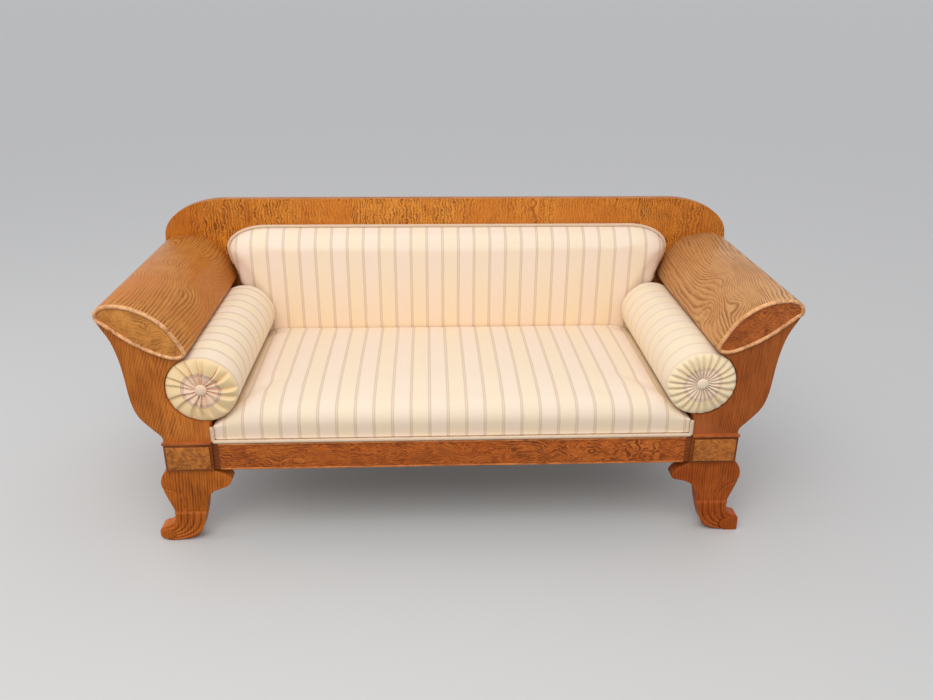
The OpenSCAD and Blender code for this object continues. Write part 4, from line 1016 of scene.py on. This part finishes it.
welt_line = evenly(half_ring[WELT_FROM * SIDE_STEPS:], 0.005)
top_edge = [(x, PAD_HIGH) for x in np.arange(welt_line[-1][0] - 0.006, 0, -0.006)]
welt_line = mirrored(np.vstack([welt_line, top_edge]))
welt_line = welt_line - leftwards(welt_line) * (WELT_R + WELT_GAP)
welt_y = np.full(len(welt_line), CREST_FACE - WELT_GAP - WELT_R)
back_path = np.column_stack([welt_line[:, 0], welt_y, welt_line[:, 1]])
for name, path, seed, solid in (("seat_piping", seat_path, 3, "seat_welt"),
                                ("back_piping", back_path, 5, "back_welt")):
    points = tube_points(path, WELT_R, WELT_SIDES, WELT_UNEVEN, seed)
    piping = new_piece(name, points, capped(len(path), WELT_SIDES))
    settle(piping, cloth["welt_cotton"], solid)
    print(name, "is", round(float(np.linalg.norm(np.diff(path, axis=0), axis=1).sum()), 2), "m long")

# %% [markdown]
# ## Bolsters
# A bolster is a round case filled with hair. The round body is stuffed as cloth first, on a coarse
# grid, and then drawn on a fine one. A used bolster also slumps where it is free in front and swells
# behind, where the arm is wider.

# %% Stuff the bolsters
BOLSTER_FRONT, BOLSTER_REAR, SEGMENTS, FINER = -0.3920, 0.2419, 96, 3
END = [(0.10, 0.0050), (0.17, 0.0048), (0.24, 0.0034), (0.31, 0.0020), (0.38, 0.0014), (0.46, 0.0011),
       (0.54, 0.0010), (0.62, 0.0011), (0.70, 0.0014), (0.78, 0.0021), (0.85, 0.0033), (0.91, 0.0052),
       (0.955, 0.0080), (0.985, 0.0112), (1.0, 0.0150)]      # share of the radius, depth behind the end
PLEAT_STRENGTH = [0.1, 0.17, 0.3, 0.6, 0.85, 0.97, 1.0], [0.3, 0.8, 1.0, 0.95, 0.85, 0.45, 0.0]
END_GAP, END_DEEP, SEAM_Y = 0.0036, 0.026, BOLSTER_FRONT + 0.0186
PLEAT_DEPTH, SAG, SWELL, SLUMP = 0.0145, 0.0016, 0.085, 0.105
SWELL_FROM, SWELL_OVER, SWELL_ARC = -0.15, 0.38, [70, 110, 165, 205]      # depths, degrees on the open side
SLUMP_FROM, SLUMP_OVER, SLUMP_ARC = -0.27, 0.11, [45, 85, 130, 180]
BOLSTER_STRIPE, BOLSTER_STRIPE_START = 0.056, 0.062
CHARACTER = {"left": (16, 0.8, 4.0), "right": (24, 0.15, 9.0)}      # pleats, looseness, seed
AXIS = {side: np.array((mirror * BOLSTER_X, 0, BOLSTER_Z)) for side, mirror in SIDES.items()}


def bolster_rows():
    front, rear, r = BOLSTER_FRONT + END_GAP, BOLSTER_REAR - END_GAP, BOLSTER_R - 0.001
    return np.array([(share * r, front + depth, share) for share, depth in END]
                    + [(r, y, 1.0) for y in np.linspace(front + END_DEEP, rear - END_DEEP, 44)]
                    + [(share * r, rear - depth, share) for share, depth in reversed(END)])


def lofted(name, grid):
    faces = capped(*grid.shape[:2])
    turned = [(f[0], *f[:0:-1]) for f in faces[:-2]] + [f[::-1] for f in faces[-2:]]
    return new_piece(name, grid.reshape(-1, 3), turned)


def stuffed_grid(side, rows):
    turn = np.arange(SEGMENTS) * 2 * pi / SEGMENTS
    grid = AXIS[side] + np.stack([rows[:, :1] * np.cos(turn), np.repeat(rows[:, 1:2], SEGMENTS, axis=1),
                                  rows[:, :1] * np.sin(turn)], axis=-1)
    coarse = lofted(f"{side}_bolster_case_coarse", grid)
    stuff(coarse, [k * SEGMENTS + j for k in (0, 1, len(rows) - 2, len(rows) - 1) for j in range(SEGMENTS)],
          3.0, 0.004)
    blown = read_points(coarse).reshape(grid.shape)
    bpy.data.objects.remove(coarse)
    wrapped = np.concatenate([blown, blown[:, :1]], axis=1)
    at = np.arange(SEGMENTS * FINER) / FINER
    low = at.astype(int)
    part = (at - low)[None, :, None]
    eased = part * part * (3 - 2 * part)
    return wrapped[:, low] * (1 - eased) + wrapped[:, low + 1] * eased, at * 2 * pi / SEGMENTS


def slumped(side, fine, rows, angle, seed):
    dx, _, dz = np.moveaxis(fine - AXIS[side], -1, 0)
    reach = np.hypot(dx, dz)
    sag = np.array([[noise.noise((cos(a) * 1.1, sin(a) * 1.1, y * 3.2 + seed)) for a in angle]
                    for y in rows[:, 1]]) * SAG
    pressed = np.minimum(reach + sag * (reach > 0.08), BOLSTER_R - 0.0002)
    free_side = np.degrees(np.arctan2(np.sin(angle), SIDES[side] * np.cos(angle))) % 360
    swell = np.interp(free_side, SWELL_ARC, [0, 1, 1, 0])
    open_top = np.interp(free_side, SLUMP_ARC, [0, 1, 1, 0])
    pressed *= 1 + SWELL * swell * np.clip((rows[:, 1:2] - SWELL_FROM) / SWELL_OVER, 0, 1) ** 1.3
    pressed *= 1 - SLUMP * open_top * np.clip((SLUMP_FROM - rows[:, 1:2]) / SLUMP_OVER, 0, 1)
    fine[..., 0] = AXIS[side][0] + dx / reach * pressed
    fine[..., 2] = AXIS[side][2] + dz / reach * pressed


print("rows along a bolster:", len(bolster_rows()))

# %% [markdown]
# ## Gathered ends
# The ends of a bolster are pleated towards the middle, where a covered button holds the folds. The
# right one has regular pleats, the left one is coarser and has loose flat places. The pleats are
# pressed in after the stuffing, because cloth at that size would iron them out. Their widths and
# depths are drawn from a seed of the bolster's own, so that they come out the same each time.

# %% Pleat the bolsters
WIDTH_SPREAD, DEPTH_SPREAD, PLEAT_SWAY, FOLD_REST = (-0.6, 1.0), (-0.7, 0.4), 0.05, 0.72


def pleated(fine, rows, angle, pleats, looseness, seed):
    rng = np.random.default_rng(int(seed))
    widths = 1 + looseness * rng.uniform(*WIDTH_SPREAD, pleats)
    starts = np.r_[0, np.cumsum(widths)] / widths.sum() * 2 * pi
    depths = 1 + looseness * rng.uniform(*DEPTH_SPREAD, pleats)
    for k in [*range(len(END)), *range(len(rows) - len(END), len(rows))]:
        share = rows[k, 2]
        turned = (angle + PLEAT_SWAY * looseness * sin(share * 7 + seed)) % (2 * pi)
        pleat = np.searchsorted(starts, turned, side="right") - 1
        phase = (turned - starts[pleat]) / (starts[pleat + 1] - starts[pleat])
        lapped = np.minimum(1, (1 - phase) * 5) * np.minimum(1, 0.15 + phase * 1.1)
        fold = lapped * looseness + (1 - (2 * phase - 1) ** 2) * (1 - looseness)
        inward = PLEAT_DEPTH if k < len(END) else -PLEAT_DEPTH
        fine[k, :, 1] += inward * np.interp(share, *PLEAT_STRENGTH) * depths[pleat] * (FOLD_REST - fold)
    fine[..., 1] = np.clip(fine[..., 1], BOLSTER_FRONT + 0.0004, BOLSTER_REAR - 0.0002)


def bolster(side):
    pleats, looseness, seed = CHARACTER[side]
    rows = bolster_rows()
    fine, angle = stuffed_grid(side, rows)
    slumped(side, fine, rows, angle, seed)
    pleated(fine, rows, angle, pleats, looseness, seed)
    piece = lofted(f"{side}_bolster_case", fine)
    inner = rows[:, 0].max() - rows[:, 0]
    run = np.where(rows[:, 2] > 0.999, rows[:, 1] - SEAM_Y,
                   np.where(rows[:, 1] < 0, -inner, inner + BOLSTER_REAR - SEAM_Y))
    stripe = (run - BOLSTER_STRIPE_START) / BOLSTER_STRIPE
    lay_cloth(piece, np.repeat(stripe, len(angle)), np.tile(angle * BOLSTER_R, len(rows)))
    settle(piece, cloth[f"{side}_bolster_cotton"], f"bolster_{side}", f"{side}_bolster")
    # the ends take the darker copy of the cloth, as painted shade
    piece.data.materials.append(cloth[f"{side}_end_cotton"])
    for face in piece.data.polygons:
        if len(face.vertices) > 4 or not len(END) - 1 <= face.index // len(angle) < len(rows) - len(END):
            face.material_index = 1


for side in SIDES:
    bolster(side)

# %% [markdown]
# ## Covered buttons
# A button is a small dome with the cloth drawn over it, so its rim has faint tucks. Both buttons of a
# bolster are one piece, as they are sewn through to each other.

# %% Cover the buttons
BUTTON_R, BUTTON_T, DOME_RINGS, DOME_SIDES, TUCKS, TUCK_DEPTH = 0.017, 0.008, 9, 40, 7, 0.02


def covered_buttons(side):
    seed, points, faces = CHARACTER[side][2], [], []
    for way, y in ((-1, BOLSTER_FRONT + BUTTON_T), (1, BOLSTER_REAR - BUTTON_T)):
        dome = capped(DOME_RINGS, DOME_SIDES, len(points))
        faces += [f[::-1] for f in dome] if way > 0 else dome
        for a in (pi / 2 * k / (DOME_RINGS - 1) for k in range(DOME_RINGS)):
            for t in (2 * pi * j / DOME_SIDES for j in range(DOME_SIDES)):
                r = BUTTON_R * cos(a) * (1 + TUCK_DEPTH * sin(t * TUCKS + seed) * cos(a)) + 0.0002
                dome_y = y + way * (BUTTON_T - 0.0004) * sin(a) ** 0.8
                points.append(AXIS[side] + (r * cos(t), dome_y, r * sin(t)))
    piece, spots = new_piece(f"{side}_covered_buttons", points, faces), np.array(points)
    lay_cloth(piece, 1.5 + (spots[:, 0] - AXIS[side][0]) / PITCH * 0.8, spots[:, 2])
    return piece


for side in SIDES:
    # the buttons take the ends' darker cloth, as painted shade
    settle(covered_buttons(side), cloth[f"{side}_end_cotton"],
           f"bolster_buttons_{side}", f"{side}_bolster")

# %% [markdown]
# ## Under the covers
# Nobody sees the webbing and springs unless the settee is turned over, but they explain why it sits
# softly. The straps pass over and under each other, each spring is a coil with a narrow waist, and a
# canvas lies over them. They are modelled plainly but truly, as ribbons, coils and sheets.

# %% Webbing
STRETCHER_W, INSIDE_X, INSIDE_FRONT, INSIDE_DEEP = 0.045, 0.690, -0.3545, 0.675
BAY = (2 * INSIDE_X - 2 * STRETCHER_W) / 3
WEB_W, WEB_T, WEB_WAVE, BACK_STRAPS, BACK_STRAP_GAP = 0.050, 0.0012, 0.0006, 10, 0.140
spring_xs = [b * (BAY + STRETCHER_W) + BAY * ((k + 0.5) / 2 - 0.5) for b in (-1, 0, 1) for k in range(2)]
spring_ys = [INSIDE_FRONT + INSIDE_DEEP * (k + 0.5) / 3 for k in range(3)]


def outward(work):
    bmesh.ops.recalc_face_normals(work, faces=work.faces)


def straps(name, solid, ribbons, thin):
    points, faces = [], []
    for start, end, lifts in ribbons:
        start, end, lift_way = np.array(start), np.array(end), np.eye(3)[thin]
        width_way = np.eye(3)[3 - thin - int(np.argmax(abs(end - start)))]
        faces += capped(len(lifts), 4, len(points))
        for k, lift in enumerate(lifts):
            middle = start + (end - start) * k / (len(lifts) - 1) + lift_way * lift
            points += [middle + width_way * WEB_W * w + lift_way * WEB_T * h
                       for w, h in ((-0.5, -0.5), (0.5, -0.5), (0.5, 0.5), (-0.5, 0.5))]
    piece = new_piece(name, points, faces)
    rework(piece.data, outward)
    settle(piece, cloth["jute_web"], solid)


(low_x, low_y, low_z), (high_x, high_y, high_z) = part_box("seat_webbing")
waves = {n: WEB_WAVE * np.sin(np.linspace(0, n * pi, 40 * n // 3)) for n in (3, 6)}
ribbons = [((x, low_y, high_z - 0.0014), (x, high_y, high_z - 0.0014), waves[3] * (-1) ** k)
           for k, x in enumerate(spring_xs)]
ribbons += [((low_x, y, low_z + 0.0014), (high_x, y, low_z + 0.0014), waves[6] * (-1) ** (k + 1))
            for k, y in enumerate(spring_ys)]
straps("seat_straps", "seat_webbing", ribbons, thin=2)
(_, _, low_z), (_, high_y, high_z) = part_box("back_webbing")
back_xs = [BACK_STRAP_GAP * (k + 0.5 - BACK_STRAPS / 2) for k in range(BACK_STRAPS)]
straps("back_straps", "back_webbing", [((x, high_y - 0.0007, low_z), (x, high_y - 0.0007, high_z), [0] * 12)
                                       for x in back_xs], thin=1)
print("seat straps:", len(ribbons), "and back straps:", len(back_xs))

# %% [markdown]
# ## Springs and hidden sheets
# A seat spring is a coil of steel wire, wide at both ends. The canvas over the springs and the lining
# behind the back are stretched and tacked, so each is a nearly flat sheet with a faint sag. One lies
# along the settee's depth, the other along its height, and that second way is given by number.

# %% Springs, canvas and lining
WIRE, TURNS, STEPS_A_TURN, COIL_R, WAIST, WIRE_SIDES = 0.0019, 3, 26, 0.044, 0.68, 8
SHEET_STEPS, SHEET_ROWS, SHEET_SAG = 90, 36, 0.0004
(_, _, low_z), (_, _, high_z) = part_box("seat_springs")
climb = np.linspace(0, 1, TURNS * STEPS_A_TURN + 1)
wide, turn = COIL_R * (1 + (WAIST - 1) * np.sin(pi * climb)), 2 * TURNS * pi * climb
rise = low_z + WIRE + (high_z - low_z - 2 * WIRE) * climb
points, faces = [], []
for x in spring_xs:
    for y in spring_ys:
        coil = np.column_stack([x + wide * np.cos(turn), y + wide * np.sin(turn), rise])
        faces += capped(len(coil), WIRE_SIDES, len(points))
        points += tube_points(coil, WIRE, WIRE_SIDES, 0, 0)
steel = Recipe("spring_steel", {"Roughness": 0.4, "Metallic": 1.0})
steel_look = steel.finish(steel.mix(steel.noise(steel.place, 60, 3), (0.42, 0.40, 0.38), (0.22, 0.17, 0.13)))
settle(new_piece("spring_coils", points, faces), steel_look, "seat_springs")


def stretched_sheet(name, solid, finish, second, seed):
    low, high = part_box(solid)
    middle, points = (Vector(low) + Vector(high)) / 2, []
    for row in range(SHEET_ROWS):
        for x in np.linspace(low[0], high[0], SHEET_STEPS):
            spot = [x, *middle[1:]]
            spot[second] = low[second] + (high[second] - low[second]) * row / (SHEET_ROWS - 1)
            spot[3 - second] += SHEET_SAG * noise.noise((x * 7, row * 0.4, seed))
            points.append(spot)
    sheet = settle(new_piece(name, points, skin(SHEET_ROWS, SHEET_STEPS, closed=False)), finish, solid)


stretched_sheet("spring_cover", "spring_canvas", cloth["canvas_cloth"], 1, 1.0)
stretched_sheet("back_cloth", "back_lining", cloth["lining_cotton"], 2, 2.0)
print("springs:", len(spring_xs) * len(spring_ys), "and two sheets")

# %% [markdown]
